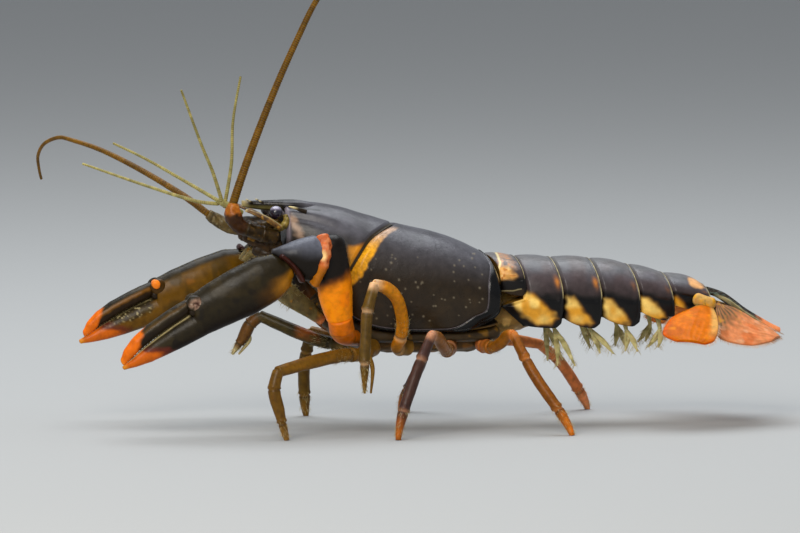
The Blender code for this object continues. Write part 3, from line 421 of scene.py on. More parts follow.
def sized_tube(points, sizes, across, spacing=0.2, sides=32, squareness=0.95):
    """A rod through points with a (width, depth) at each, its sizes blended along the way."""
    line = smooth_line(points, spacing)
    sizes = smooth_line([(w, d, 0) for w, d in sizes], FAR_AWAY)
    marks = np.linspace(0, 1, len(sizes))
    given = lengths_along(np.array(points, dtype=float))
    at = np.interp(lengths_along(line) / lengths_along(line)[-1], given / given[-1], np.arange(len(given)))
    share = at / (len(given) - 1)
    return tube(line, np.interp(share, marks, sizes[:, 0]), np.interp(share, marks, sizes[:, 1]),
                across, sides, squareness)


def swell(rings, relief):
    """Rings moved outward from their middles by a relief in millimetres."""
    middle = rings.mean(axis=1, keepdims=True)
    return rings + unit(rings - middle) * relief[..., None]


# Materials

def feed(tree, target, inputs):
    """Gives each input of a node its value, or the output that it follows."""
    for key, value in inputs.items():
        if isinstance(value, bpy.types.NodeSocket):
            tree.links.new(value, target.inputs[key])
        else:
            target.inputs[key].default_value = value


def output(tree, kind, name, inputs, **settings):
    """The named output of a new node."""
    made = tree.nodes.new(kind)
    for key, value in settings.items():
        setattr(made, key, value)
    feed(tree, made, inputs)
    return made.outputs[name]


def spread(tree, value, span, low, high, **settings):
    """A value's span mapped onto the range from low to high."""
    inputs = {"Value": value, "From Min": span[0], "From Max": span[1], "To Min": low, "To Max": high}
    return output(tree, "ShaderNodeMapRange", "Result", inputs, **settings)


NOISE_SPAN = (0.3, 0.7)         # where most of a noise's values lie
COARSE_GRAIN, PIT_GRAIN = 6, 3.5    # sizes of the broad mottling and of the pits, in grains
WEAR = 0.07                     # how much the roughness changes over the skin
BUMP_DEPTH = 0.06
SKIN_GLOW = (1.0, 0.5, 0.25)    # how far red, green and blue light travel under soft skin


def surface(name, grain, bump, mottle, pits, coat, soft_depth, specular):
    """A material whose colour and roughness come from the mesh, worked over by fine noise.

    grain is the size of its finest texture in millimetres, bump how strongly it stands out,
    and pits how strongly small dimples show.
    """
    material = bpy.data.materials.new(name)
    material.use_nodes = True
    tree = material.node_tree
    place = output(tree, "ShaderNodeTexCoord", "Object", {})
    tint = output(tree, "ShaderNodeAttribute", "Color", {}, attribute_name="tint")
    rough = output(tree, "ShaderNodeAttribute", "Fac", {}, attribute_name="rough")

    def grains(kind, name, size, inputs, **settings):
        inputs = {"Vector": place, "Scale": 1 / (grain * size * MM), **inputs}
        return output(tree, kind, name, inputs, **settings)

    coarse = grains("ShaderNodeTexNoise", "Fac", COARSE_GRAIN, {"Detail": 5})
    fine = grains("ShaderNodeTexNoise", "Fac", 1, {"Detail": 3})
    shade = spread(tree, coarse, NOISE_SPAN, 1 - mottle, 1 + mottle)
    colour = output(tree, "ShaderNodeMix", "Result", {"Factor": 1.0, "A": tint, "B": shade},
                    data_type="RGBA", blend_type="MULTIPLY", clamp_result=False)
    wear = spread(tree, fine, NOISE_SPAN, -WEAR, WEAR)
    heights = {0: fine}
    if pits:
        cells = grains("ShaderNodeTexVoronoi", "Distance", PIT_GRAIN, {}, feature="F1")
        heights[1] = spread(tree, cells, (0.05, 0.35), -pits, 0.0, interpolation_type="SMOOTHSTEP")
    height = output(tree, "ShaderNodeMath", "Value", heights, operation="ADD")
    relief = {"Strength": bump, "Distance": BUMP_DEPTH * MM, "Height": height}
    inputs = {
        "Base Color": colour,
        "Roughness": output(tree, "ShaderNodeMath", "Value", {0: rough, 1: wear}, operation="ADD"),
        "Normal": output(tree, "ShaderNodeBump", "Normal", relief),
        "Coat Weight": coat,
        "Coat Roughness": 0.18,
        "Specular IOR Level": specular,
    }
    if soft_depth:
        inputs.update({"Subsurface Weight": 0.35, "Subsurface Radius": SKIN_GLOW,
                       "Subsurface Scale": soft_depth * MM})
    feed(tree, tree.nodes["Principled BSDF"], inputs)
    return material


# The head and thorax shell, by the CAD's own stations and margins

CARAPACE = ((-27.5, 40.6, 31.4, 4.9, 3.2), (-22.0, 40.6, 26.2, 7.1, 5.6), (-17.0, 39.8, 21.2, 8.5, 7.2),
            (-12.0, 38.3, 18.5, 9.4, 8.3), (-6.0, 36.5, 17.7, 10.1, 8.9), (0.0, 35.1, 17.6, 10.4, 9.2),
            (5.0, 33.4, 17.6, 10.3, 9.1), (9.5, 31.2, 18.0, 9.6, 8.6), (12.5, 30.0, 18.8, 9.1, 8.2))
BACK_SHARE = 0.6                # the share of the skin, from the midline, that forms the arched back
WAIST_SHARE = 0.42              # height of the widest place, between the margin and the back
ROUNDNESS = 0.92                # below 1 the back is a little squarer than an ellipse
FOOT_INSET, LINING_RISE = 0.8, 0.16     # how far the lining lies inside the margin and above it
LINING_STEP = 4                 # the lining has one point for this many of the skin's
GROOVE_TOP_X, GROOVE_SWEEP = -6.3, 14.0
REAR_X, REAR_BULGE, CORNER_CUT = 9.3, 2.2, 6.0
HEAD_GRID = (301, 150)          # the skin's points across and along
THORAX_GRID = (321, 170)
ORBIT_X = -27.0
ROSTRUM_TIP_X = -34.3


def arch(x, share, top, low, half, foot, lift):
    """Points of a shell arch: share 0 is the back's midline and 1 the lower margin."""
    t = np.abs(share)
    waist = low + WAIST_SHARE * (top - low)
    angle = np.minimum(t / BACK_SHARE, 1.0) * math.pi / 2
    s = np.maximum(t - BACK_SHARE, 0.0) / (1 - BACK_SHARE)
    above = t <= BACK_SHARE
    y = np.where(above, (half + lift) * np.sin(angle) ** ROUNDNESS, half + lift - (half - foot) * s**2)
    z = np.where(above, waist + (top + lift - waist) * np.maximum(np.cos(angle), 0.0) ** ROUNDNESS,
                 waist - (waist - low) * s)
    return np.stack([x + np.zeros(y.shape), y * side_of(share), z], axis=-1)


def groove_x(share):
    """The cervical groove's place along the body at each height of the flank."""
    t = np.abs(share)
    forward = 0.6 + 1.3 * soft(t, 0.1, 0.4)
    return GROOVE_TOP_X - GROOVE_SWEEP * t**1.1 - forward * (1 - soft(t, 0.85, 1.0))


def carapace_rear_x(share):
    """The thorax shell's rear margin: drawn forward over the back and at its lower corner."""
    t = np.abs(share)
    corner = np.maximum(0.0, (t - 0.7) / 0.3)
    return REAR_X + REAR_BULGE * np.sin(math.pi * t / 1.3) - CORNER_CUT * corner**3.2


def shell_point(x, share, lift):
    """Points of the head and thorax shell, raised by lift."""
    top, low, half, foot = [curve_value(CARAPACE, x, k) for k in range(1, 5)]
    return arch(x, share, top, low, half, foot, lift)


def shell_belly(x, share):
    """The lining that closes the shell from margin to margin."""
    low, foot = curve_value(CARAPACE, x, 2), curve_value(CARAPACE, x, 4)
    t = np.abs(share)
    y = (foot - FOOT_INSET) * t**0.8 * side_of(share)
    return np.stack([x, y, low + LINING_RISE + 0.1 * (1 - t**2)], axis=-1)


MARGIN_DEPTH = 24.0             # length over the skin from the back's midline to the lower margin
CORNER_ROUNDING = 2.0
REAR_SHARES = np.linspace(0, 0.93, 200)     # places down the rear margin that distances are taken from


def margin_distance(x, share):
    """How far a point of the thorax shell lies from its rear and lower margins, over the skin."""
    depth = np.abs(share) * MARGIN_DEPTH
    rear = np.full(x.shape, FAR_AWAY)
    for mx, mz in zip(carapace_rear_x(REAR_SHARES), REAR_SHARES * MARGIN_DEPTH):
        rear = np.minimum(rear, np.hypot(x - mx, depth - mz))
    low = MARGIN_DEPTH - depth
    both = np.exp(-rear / CORNER_ROUNDING) + np.exp(-low / CORNER_ROUNDING)
    return np.maximum(-CORNER_ROUNDING * np.log(both), 0.0)


def rim_width(x, share):
    """The rolled rim is broad behind the flank and narrow along the back and the lower margin."""
    return 0.55 + 1.75 * soft(np.abs(share), 0.2, 0.55) * soft(x, 1.0, 8.0)


# Pale dots of the flank: across and down in photo pixels, and how wide each is
FLANK_DOTS = np.random.default_rng(SEED).uniform((352, 252, 0.6), (484, 330, 1.05), (64, 3))


def flank_dots(points):
    """Soft marks where the flank's pale dots are."""
    return [spot(points, (px, py), (size, size), 0.8) for px, py, size in FLANK_DOTS]


def shell_tint(points, share):
    """Near-black brown, greyer over the back as a painted sheen."""
    t = np.abs(share)
    tint = layered(
        BROWN_BLACK,
        # painted sheen: slate grey over the back, fading down the flanks
        (SLATE * 0.8, 1 - soft(t, 0.22, 0.58)),
        (srgb(58, 44, 24), 0.6 * soft(t, 0.5, 0.75) * soft(noise(points, 4.0, 23), -0.4, 0.6)),
        (BLACK, 0.4 * soft(noise(points, 3.2, 21), -0.2, 0.8)))
    return tint * (1 + 0.08 * noise(points, 0.6, 22))[..., None]


def groove_band(points, x, share, tint):
    """The granular yellow band that follows the cervical groove, pinkish near the back."""
    t = np.abs(share)
    width = 2.05 + 0.2 * noise(points, 0.7, 31)
    band = 1 - soft(x - groove_x(share), width - 0.25, width + 0.25)
    colour = blend(PINK_CREAM * 0.62, srgb(236, 164, 18), soft(t, 0.24, 0.44))
    colour = colour * (0.9 + 0.3 * noise(points, 0.28, 32))[..., None]
    return blend(tint, colour, band * soft(t, 0.1, 0.2) * (1 - soft(t, 0.70, 0.82)))


def head_paint(points, x, share):
    """The head's marks: a yellow triangle before the groove, streaks behind the eye and a pale border, with
    a painted sheen on the side and painted shade in the groove, low on the side and in the hollow at the
    front margin.
    """
    behind = x - groove_x(share)
    triangle = patch(points, [(348, 247), (374, 243), (370, 258), (356, 280), (349, 268)], 2.4, 1.5)
    glow = layered(
        srgb(216, 140, 18),
        (srgb(255, 196, 44), soft(-points[..., 2], -31.6, -28.2)),
        (srgb(180, 110, 8), 0.5 * soft(noise(points, 1.4, 33), -0.2, 0.8)))
    return layered(
        shell_tint(points, share),
        # painted sheen: a slate grey patch on the head's side
        (SLATE * 1.05, 0.7 * patch(points, [(300, 212), (345, 216), (362, 234), (320, 244)], 9)),
        # painted shade: a dark line in the groove, before the yellow band
        (srgb(44, 34, 12), soft(behind, -0.5, -0.2)),
        (glow, triangle * (1 - soft(behind, -0.45, -0.2))),
        (PINK_CREAM * 0.55, 0.75 * stroke(points, [(292, 219), (297, 230), (303, 238)], 7, 6, 2.0)),
        # painted shade: darker low on the head's side
        (srgb(34, 28, 18), 0.8 * patch(points, [(306, 230), (350, 240), (347, 264), (298, 250)], 9)),
        (LILAC * 0.8, 0.75 * (1 - soft(x - ORBIT_X, 0.3, 1.1))),
        (CREAM, spot(points, (291.5, 205), (3, 2))),
        (BLACK * 0.6, 0.7 * stroke(points, [(296, 208), (306, 209), (320, 211)], 2.0, 1.0)),
        # painted shade: the hollow before the shell's front margin
        (BROWN_BLACK * 0.5, patch(points, [(287, 240), (300, 240), (296, 262), (284, 258)], 5)))


def head_relief(points, x, share):
    """Height of the head's skin over its even arch."""
    t = np.abs(share)
    along_ridge = soft(x, -27.2, -25.5) * (1 - soft(x, -20.0, -16.0))
    return (texture(points, (0.03, 2.6, 41), (0.008, 0.6, 42))
            - 0.42 * (1 - soft(groove_x(share) - x, 0.1, 0.8))
            + along_ridge * (0.2 * hump(t, 0.27, 0.045) - 0.22 * hump(t, 0.35, 0.04))
            + 0.13 * hump(x - ORBIT_X, 0.45, 0.3) - 0.35 * hump(x - ORBIT_X, 0.0, 0.2))


def skin_rings(x, share, relief_of):
    """Closed rings of a shell: over the back from margin to margin, and back along its lining."""
    skin = shell_point(x, share, relief_of(shell_point(x, share, 0.0), x, share))
    lining = shell_belly(x, share)[:, LINING_STEP:-LINING_STEP:LINING_STEP][:, ::-1]
    return np.concatenate([skin, lining], axis=1)


def ring_colours(points, skin, lining, front, rear):
    """The tints of a shell's rings: its skin, its lining and the rows that close its two ends."""
    tint = np.zeros(points.shape)
    tint[:END_ROWS], tint[-END_ROWS:] = front, rear
    tint[BODY, skin.shape[1]:] = lining
    tint[BODY, :skin.shape[1]] = skin
    return tint


def shell_grid(columns, rows, front, rear):
    """The places along the body and the shares of a shell's points between its two margins."""
    share = np.linspace(-1, 1, columns)[None] + np.zeros((rows, 1))
    along = np.linspace(0, 1, rows)[:, None]
    return front(share) + (rear(share) - front(share)) * along, share


def make_head(material):
    """The head's shell and its beak."""
    x, share = shell_grid(*HEAD_GRID, lambda s: np.full(s.shape, ORBIT_X), lambda s: groove_x(s) + 0.2)

    def paint(points, along, around):
        skin = head_paint(points[BODY, :x.shape[1]], x, share)
        tint = ring_colours(points, skin, OLIVE * 0.5, head_wall_tint(points[:END_ROWS]), YELLOW * 0.35)
        return tint, 0.34 + 0.04 * noise(points, 1.5, 51)

    form = Form()
    form.add(skin_rings(x, share, head_relief), paint, start=-0.12, end=-0.1)
    add_rostrum(form)
    form.make("head_shell", material, ["carapace_head"], "shell")


def head_wall_tint(points):
    """The front of the head round the eyes: grey-lilac above, yellow-olive below the eye, then dark."""
    z = points[..., 2]
    return layered(LILAC * 0.55, (YELLOW * 0.45, 1 - soft(z, 37.2, 38.4)),
                   (srgb(48, 34, 22), 1 - soft(z + 0.6 * noise(points, 0.8, 62), 34.6, 36.4)))


ROSTRUM = ((-20.0, 2.2, 0.9), (-23.0, 3.1, 0.35), (-26.0, 3.0, 0.12), (-29.0, 2.1, 0.1),
           (-31.8, 1.4, 0.1), (ROSTRUM_TIP_X, 0.45, 0.0))


def add_rostrum(form):
    """The beak between the eyes: hollow above between raised edges, with thorns near its tip."""
    x = np.linspace(ROSTRUM[0][0], ROSTRUM_TIP_X, 110)
    half = curve_value(ROSTRUM[::-1], x, 1)[:, None]
    top = (curve_value(CARAPACE, x, 1) - curve_value(ROSTRUM[::-1], x, 2))[:, None]
    thick = (0.7 + 0.16 * (x - ROSTRUM_TIP_X) ** 0.9)[:, None]
    x = x[:, None]
    f = np.linspace(-1, 1, 41)[None]
    out = np.abs(f)
    edge = 0.42 * hump(out, 0.82, 0.14) - 0.12 * (1 - soft(out, 0.3, 0.7))
    upper = np.stack([x + 0 * f, f * half, top + edge - 0.5 * soft(out, 0.93, 1.02) * thick * 0.4], -1)
    g = np.linspace(0.96, -0.96, 31)[None]
    lower = np.stack([x + 0 * g, g * half * 0.86, top - thick * (1 - 0.35 * g**2)], -1)

    def paint(points, along, around):
        ahead = -points[..., 0]
        return layered(
            BLACK,
            (SLATE * 0.7, 0.5 * soft(noise(points, 1.4, 61), 0, 0.8)),
            # painted sheen: grey towards the root, where the beak meets the head's painted sheen
            (SLATE * 0.85, soft(-ahead, -25.5, -22.0)),
            (PALE_OLIVE * 0.75, 0.8 * soft(around, 0.55, 0.6) * soft(ahead, 27.0, 28.5)),
            (CREAM * 0.9, 0.7 * soft(ahead, 32.9, 34.2))), 0.3

    form.add(np.concatenate([upper, lower], axis=1), paint, start=0.1, end=0.4)
    for side in SIDES:
        for x0, y0 in ((-33.0, 1.0), (-31.2, 1.5)):
            base, tip = mirrored([(x0 + 0.5, y0 - 0.1, 40.6), (x0 - 0.4, y0 + 0.4, 41.15)], side)
            add_thorn(form, base, tip, 0.27, CREAM * 0.8)
        add_thorn(form, *mirrored([(-23.4, 4.5, 39.2), (-26.6, 4.9, 40.25)], side), 0.45, CREAM * 0.9)


def add_thorn(form, base, tip, radius, tint, root_tint=BROWN_BLACK):
    """A curved thorn that comes out of its root's colour into its own."""
    line = smooth_line([base, (base + tip) / 2 + (0, 0, radius * 0.15), tip], 0.12)
    t = np.linspace(0, 1, len(line))
    width = 2 * radius * (1 - t**1.3 * 0.85)

    def paint(points, along, around):
        return blend(root_tint, tint, soft(along, 0.45, 0.8)), 0.35

    form.add(tube(line, width, width, (0, 1, 0.1), 12), paint, 0.1, 0.6)


def thorax_relief(points, x, share):
    """Height of the thorax skin over its even arch: the groove, the rolled rim and low grains."""
    margin, width = margin_distance(x, share), rim_width(x, share)
    relief = (texture(points, (0.04, 2.4, 43), (0.012, 0.5, 44))
              - 0.62 * (1 - soft(x - groove_x(share), 0.0, 1.15))
              + 0.18 * hump(margin, 0.5 * width, 0.38 * width)
              - 0.18 * hump(margin, width + 0.12, 0.16) - 0.35 * hump(margin, 0.0, 0.25))
    return relief + 0.05 * sum(flank_dots(points))


def thorax_paint(points, x, share):
    """Black rolled rim with a cream edge over the back, the yellow band and the flank's dots."""
    t = np.abs(share)
    margin, width = margin_distance(x, share), rim_width(x, share)
    tint = layered(
        shell_tint(points, share),
        (BLACK * 0.3, 1 - soft(margin - width, -0.1, 0.1)),
        (LILAC * 0.6, 0.6 * hump(margin - width, 0.1, 0.07) * soft(t, 0.1, 0.25)),
        (CREAM * 0.8, (1 - soft(margin, 0.1, 0.3)) * (1 - soft(t, 0.34, 0.46))))
    return layered(groove_band(points, x, share, tint),
                   *[(srgb(150, 138, 114), 0.45 * dot) for dot in flank_dots(points)])


def make_thorax(material):
    """The thorax shell, from the groove to its rolled rear margin."""
    x, share = shell_grid(*THORAX_GRID, lambda s: groove_x(s) - 0.15, carapace_rear_x)
    columns = x.shape[1]

    def paint(points, along, around):
        skin = thorax_paint(points[BODY, :columns], x, share)
        rough = 0.33 + 0.04 * noise(points, 1.5, 51)
        on_rim = 1 - soft(margin_distance(x, share) - rim_width(x, share), -0.1, 0.1)
        rough[BODY, :columns] -= 0.08 * on_rim
        return ring_colours(points, skin, OCHRE * 0.45, YELLOW * 0.4, BLACK), rough

    form = Form()
    form.add(skin_rings(x, share, thorax_relief), paint, start=-0.1, end=-0.1)
    form.make("thorax_shell", material, ["carapace_thorax"], "shell")


# The abdomen

ABDOMEN = ((9.0, 31.0, 7.2), (14.6, 30.4, 7.7), (21.8, 30.0, 7.8), (28.9, 29.7, 7.6), (36.0, 28.5, 7.2),
           (42.4, 26.9, 6.7), (47.2, 25.9, 6.0), (50.4, 24.4, 5.2))
SEGMENT_ENDS = (9.8, 15.1, 21.8, 28.9, 36.0, 42.4, 49.9)
PLEURON_LOW = (23.7, 17.8, 17.6, 17.8, 18.7, 20.2)
PLEURON_CUT = (0.8, 0.4, 1.9, 1.8, 1.6, 1.2)
SEGMENT_SWEEP, LEAN_DEPTH = 1.2, 7.0
FLAP_REACH, FLAP_DEPTHS, FLAP_SLOPE = 3.6, (7.3, 8.5), 1.1
BELLY_SHARE = 0.36              # height of a ring's lining, between its side plates' edge and its back
RING_GRID = (241, 56)
HINGE_MARKS = (0.0, 0.8, 0.8, 0.2, 0.2, 0.2)    # how strong each ring's orange mark is


def lean_back(depth):
    """How far a ring's margins lie behind their place on the back, by depth below it."""
    return (SEGMENT_SWEEP * np.sin(np.clip(depth / LEAN_DEPTH, 0, 1) * math.pi / 2)
            - 0.15 * np.maximum(0.0, depth - 9.0))


def segment_x(index, along, share, y, depth):
    """The place along the body of a ring's points; the second ring has a flap over the first's flank."""
    front = SEGMENT_ENDS[index] + GAP + 0.1 + lean_back(depth)
    if index == 0:
        front = SEGMENT_ENDS[0] + 0.222 * np.abs(y) + 0.07 * np.minimum(depth, LEAN_DEPTH)
    if index == 1:
        reach = np.clip((depth - FLAP_DEPTHS[0]) / (FLAP_DEPTHS[1] - FLAP_DEPTHS[0]), 0, 1)
        flap = FLAP_REACH * reach - FLAP_SLOPE * np.maximum(0.0, depth - FLAP_DEPTHS[1])
        front = front - np.where(np.abs(share) > BACK_SHARE + 0.01, flap, 0.0)
    rear = SEGMENT_ENDS[index + 1] + lean_back(depth)
    return front + (rear - front) * along


def pleuron_low(index, along):
    """The height of a side plate's lower edge, which rises towards both its ends."""
    behind = np.maximum(0.0, (along - 0.8) / 0.2)
    return PLEURON_LOW[index] + PLEURON_CUT[index] * (1 - np.clip(along, 0, 1)) ** 2.2 + 0.9 * behind**2


# Yellow fields on the side plates, in photo pixels, by segment
SIDE_FIELDS = {
    1: [(507, 294), (520, 292), (534, 294), (542, 303), (551, 311), (557, 318), (552, 324), (539, 325),
        (530, 321), (521, 314), (512, 304)],
    2: [(567, 297), (573, 297), (582, 308), (590, 317), (593, 323), (583, 326), (570, 322), (566, 309)],
    3: [(604, 299), (610, 299), (619, 308), (627, 317), (630, 323), (620, 325), (608, 321), (603, 310)],
    4: [(638, 297), (647, 297), (656, 304), (664, 313), (666, 318), (656, 320), (643, 318), (637, 308)],
    5: [(671, 296), (677, 297), (684, 304), (690, 312), (680, 314), (673, 306)],
}


def field_tint(points, field):
    """A yellow field: pale in its middle, deeper orange towards its edge."""
    pale = patch(points, [(x - 3, y - 2) for x, y in field], 6.5, 2.5)
    return layered(
        srgb(120, 66, 8),
        (srgb(216, 150, 36), patch(points, field, 4.0, 2.0)),
        (srgb(244, 206, 112), 0.9 * pale * soft(noise(points, 1.6, 73), -0.7, 0.4)))


def first_ring_tint(points, tint):
    """The short first ring: greyish pink above, peach below with a cream stripe, and black at its foot."""
    pink = mottled(points, (srgb(160, 128, 104), srgb(112, 98, 92), srgb(196, 132, 84)), 0.7, 79)
    warm = mottled(points, (srgb(226, 164, 84), srgb(236, 190, 120), srgb(196, 124, 52)), 0.7, 79)
    return layered(
        tint,
        (pink, patch(points, [(497, 252), (509, 253), (515, 268), (498, 268)], 3.0, 2.0)),
        (warm, patch(points, [(498, 268), (509, 267), (517, 277), (512, 280), (497, 279)], 3.0, 2.0)),
        (warm, 0.9 * patch(points, [(486, 270), (497, 268), (497, 280), (486, 280)], 2.0)),
        (CREAM, 0.9 * stroke(points, [(496, 253), (500, 262), (497, 276)], 2.0, 1.5, 0.3)),
        (BLACK * 0.5, patch(points, [(496, 281), (518, 280), (521, 288), (506, 291), (496, 289)], 1.5)),
        (srgb(44, 30, 14), patch(points, [(496, 291), (524, 289), (524, 300), (496, 300)], 1.0, 0.4)),
        (CREAM * 0.6, 0.6 * stroke(points, [(521, 289), (512, 291), (500, 291)], 1.0, 0.8, 0.2)))


def segment_paint(index, points, along, share):
    """Grey back with a painted sheen, black flank with a yellow field, a cream rear edge and an orange mark
    at the hinge.
    """
    t = np.abs(share)
    tint = layered(
        SLATE,
        (srgb(84, 72, 74), soft(noise(points, 2.6, 70), -0.5, 0.5)),
        (srgb(58, 48, 48), soft(t, 0.25, 0.55)),
        # painted sheen: lighter grey along the top
        (srgb(112, 112, 110), 0.55 * (1 - soft(t, 0.1, 0.42))),
        # painted sheen: grey-lilac patches over the top
        (LILAC * 0.5, 0.3 * soft(noise(points, 2.2, 71 + index), 0.1, 0.8) * (1 - soft(t, 0.3, 0.5))),
        (BLACK * 0.35, soft(t + 0.02 * noise(points, 1.0, 72), 0.53, 0.60)))
    if index in SIDE_FIELDS:
        field = SIDE_FIELDS[index]
        tint = blend(tint, field_tint(points, field), patch(points, field, 3.6, 1.8))
    if index == 0:
        tint = first_ring_tint(points, tint)
    if index == 5:
        field = patch(points, [(688, 277), (698, 279), (705, 288), (697, 289), (690, 284)], 1.6)
        tint = blend(tint, srgb(240, 176, 110), 0.9 * field)
    edge = soft(along, 0.968, 0.985) * (0.75 + 0.35 * noise(points, 0.6, 74)) * (1 - soft(t, 0.56, 0.64))
    hinge = hump(t, 0.44, 0.05) * hump(along, 0.87, 0.07) * HINGE_MARKS[index]
    return layered(
        tint,
        (BLACK * 0.4, 0.7 * soft(along, 0.93, 0.955)),
        (CREAM * 0.8, edge),
        (srgb(206, 126, 44), hinge * soft(noise(points, 0.8, 80), -0.9, 0.1)))


def segment_relief(index, points, along, share):
    """Height of a ring's skin over its even arch: it bulges between a tucked front and a raised edge."""
    t = np.abs(share)
    tuck = 0.75 if index else 0.25
    fold = hump(t, 0.6, 0.03) * soft(along, 0.0, 0.25) * (1 - soft(along, 0.75, 1.0))
    return (0.3 * np.sin(math.pi * np.clip(along, 0, 1)) ** 0.8 - tuck * (1 - soft(along, -0.12, 0.06))
            + 0.1 * hump(along, 0.975, 0.02) - 0.08 * hump(along, 0.935, 0.02) - 0.22 * fold
            + texture(points, (0.03, 1.6, 75), (0.01, 0.45, 76)))


def segment_rings(index, rows, columns):
    """Closed rings of one abdominal ring, and the shares along and across its skin."""
    share = np.linspace(-1, 1, columns)[None] + np.zeros((rows, 1))
    along = np.linspace(-0.14 if index else -0.02, 1, rows)[:, None] + np.zeros((1, columns))
    middle = SEGMENT_ENDS[index] + (SEGMENT_ENDS[index + 1] - SEGMENT_ENDS[index]) * np.clip(along, 0, 1)
    top, half = curve_value(ABDOMEN, middle, 1), curve_value(ABDOMEN, middle, 2)
    low = pleuron_low(index, along)

    def skin(lift):
        crest = arch(0.0, share, top, low, half, half - 0.4, lift)
        crest[..., 0] = segment_x(index, along, share, crest[..., 1], top - crest[..., 2])
        return crest

    outer = skin(segment_relief(index, skin(0.0), along, share))
    t = np.abs(share)
    belly = low + BELLY_SHARE * (top - low)
    s = np.maximum(t - BACK_SHARE, 0) / (1 - BACK_SHARE)
    y = np.where(t <= BACK_SHARE, (half - 1.9) * t / BACK_SHARE, half - 1.9 + 0.7 * s) * side_of(share)
    z = belly - (belly - low - 0.15) * s
    lining = np.stack([segment_x(index, along, share, y, top - z), y, z], axis=-1)[:, 2:-2:3][:, ::-1]
    return np.concatenate([outer, lining], axis=1), along, share


def make_abdomen(material):
    """The six rings of the abdomen."""
    columns, rows = RING_GRID
    for index in range(len(PLEURON_LOW)):
        rings, along, share = segment_rings(index, rows, columns)

        def paint(points, steps, around):
            skin = segment_paint(index, points[BODY, :columns], along, share)
            lining = mottled(points[BODY, columns:], (OCHRE * 0.7, OLIVE * 0.8, CREAM * 0.6), 1.2, 77)
            tint = ring_colours(points, skin, lining, OCHRE * 0.4, OCHRE * 0.4)
            return tint, 0.36 + 0.05 * noise(points, 1.3, 78)

        form = Form()
        form.add(rings, paint, start=-0.05, end=-0.05)
        form.make(f"ring_{index + 1}", material, [f"abdomen_{index + 1}"], "shell")


# Flat plates: tail fan, feeler scales

def blade(rows, camber, thicknesses, columns, length, relief):
    """A thin curved plate whose rows run between edge points: closed rings round each row, and its edges."""
    marks = np.linspace(0, 1, length)

    def even(values):
        values = np.array(values, dtype=float).reshape(len(values), -1)
        given = np.linspace(0, 1, len(values))
        return np.stack([np.interp(marks, given, column) for column in values.T], 1)

    left, right = [even(smooth_line(edge, 0.15)) for edge in zip(*rows)]
    thick = even(thicknesses)[:, None]
    normal = unit(np.cross(right - left, np.gradient(left + right, axis=0)))
    normal = (normal * side_of(normal[:, 2:]))[:, None]
    f = np.linspace(0, 1, columns)[None, :, None]
    bow = 1 - (2 * f - 1) ** 2
    middle = left[:, None] * (1 - f) + right[:, None] * f + normal * camber * bow
    half = thick * 0.5 * (0.35 + 0.65 * bow**0.5)
    top = middle + normal * (half + relief(marks[:, None, None], f))
    low = middle - normal * half
    return np.concatenate([top, low[:, ::-1]], axis=1), left, right


def folded_share(around):
    """For closed rings round a plate: 0 at one edge and 1 at the other, on both faces."""
    return np.where(around < 0.5, around * 2, 2 - around * 2)


TELSON_ROWS = ((50.5, 3.5, 23.3), (53.4, 4.2, 22.1), (56.7, 4.3, 19.7), (59.4, 4.2, 18.1),
               (62.2, 3.6, 16.6), (63.8, 1.9, 15.9))
PROTOPOD = (48.9, 7.45, 22.1)
EXOPOD_ROWS = (((46.6, 7.6, 20.9), (50.2, 7.6, 21.4)), ((42.9, 9.7, 19.8), (50.6, 10.2, 19.5)),
               ((40.9, 12.6, 18.7), (50.2, 13.2, 17.6)), ((39.7, 15.7, 17.1), (48.9, 16.3, 15.9)),
               ((41.6, 17.4, 16.0), (47.0, 17.9, 15.4)))
ENDOPOD_ROWS = (((51.3, 5.0, 21.4), (50.7, 7.3, 21.2)), ((54.8, 4.8, 20.65), (50.6, 9.9, 18.4)),
                ((58.4, 4.5, 18.6), (50.9, 12.4, 15.9)), ((61.4, 4.8, 16.9), (56.2, 12.2, 14.6)),
                ((62.9, 6.3, 15.4), (60.6, 9.6, 14.9)))
FAR_SWING = 20.0                # degrees that the far outer plate is turned back
FAN_THICKNESSES = (1.1, 1.0, 0.9, 0.7, 0.55)
FRINGE_SPACING, FRINGE_THICKNESS = 0.12, 0.07


def swung(rows, side):
    """The exopod's edge points, turned back about the fan's root on the right side."""
    if side == LEFT:
        return mirrored(rows, side)
    root, angle = np.array(PROTOPOD), math.radians(-FAR_SWING)
    turn = [[math.cos(angle), math.sin(angle), 0], [-math.sin(angle), math.cos(angle), 0], [0, 0, 1]]
    return root + (np.array(rows) - root) @ np.array(turn)


def ribbed(marks, f):
    """Low ribs that run down a fan plate and spread with it."""
    return 0.015 * np.cos(2 * math.pi * (f - 0.5) * 9) * soft(marks, 0.3, 0.6) + 0.05 * hump(f, 0.5, 0.05)


def telson_paint(points, along, around):
    """Dark and speckled, with a pinkish orange rear part and a pale line along each side."""
    tint = mottled(points, (BROWN_BLACK, srgb(74, 82, 70), SLATE * 0.8), 0.5, 81)
    tail = soft(points[..., 0] + 0.5 * noise(points, 0.8, 82), 59.0, 60.6)
    ridge = 0.6 * hump(np.abs(points[..., 1]), 4.1, 0.25) * (1 - tail)
    return layered(tint, (PINK_ORANGE * 0.95, tail), (CREAM * 0.7, ridge)), 0.42


def exopod_paint(points, along, around):
    """Orange, redder at its edges, with a pale wedge beside its root."""
    across = folded_share(around)
    edge = np.minimum(across, 1 - across)
    wedge = 0.9 * soft(across, 0.78, 0.9) * (1 - soft(along, 0.45, 0.9)) * soft(along, 0.02, 0.15)
    return layered(
        mottled(points, (srgb(204, 106, 2), srgb(186, 92, 2), srgb(216, 122, 4)), 2.6, 83),
        (srgb(206, 76, 4), 0.5 * (1 - soft(edge, 0.02, 0.12))),
        (srgb(222, 168, 92), wedge),
        (OLIVE, 1 - soft(along, 0.0, 0.12))), 0.4


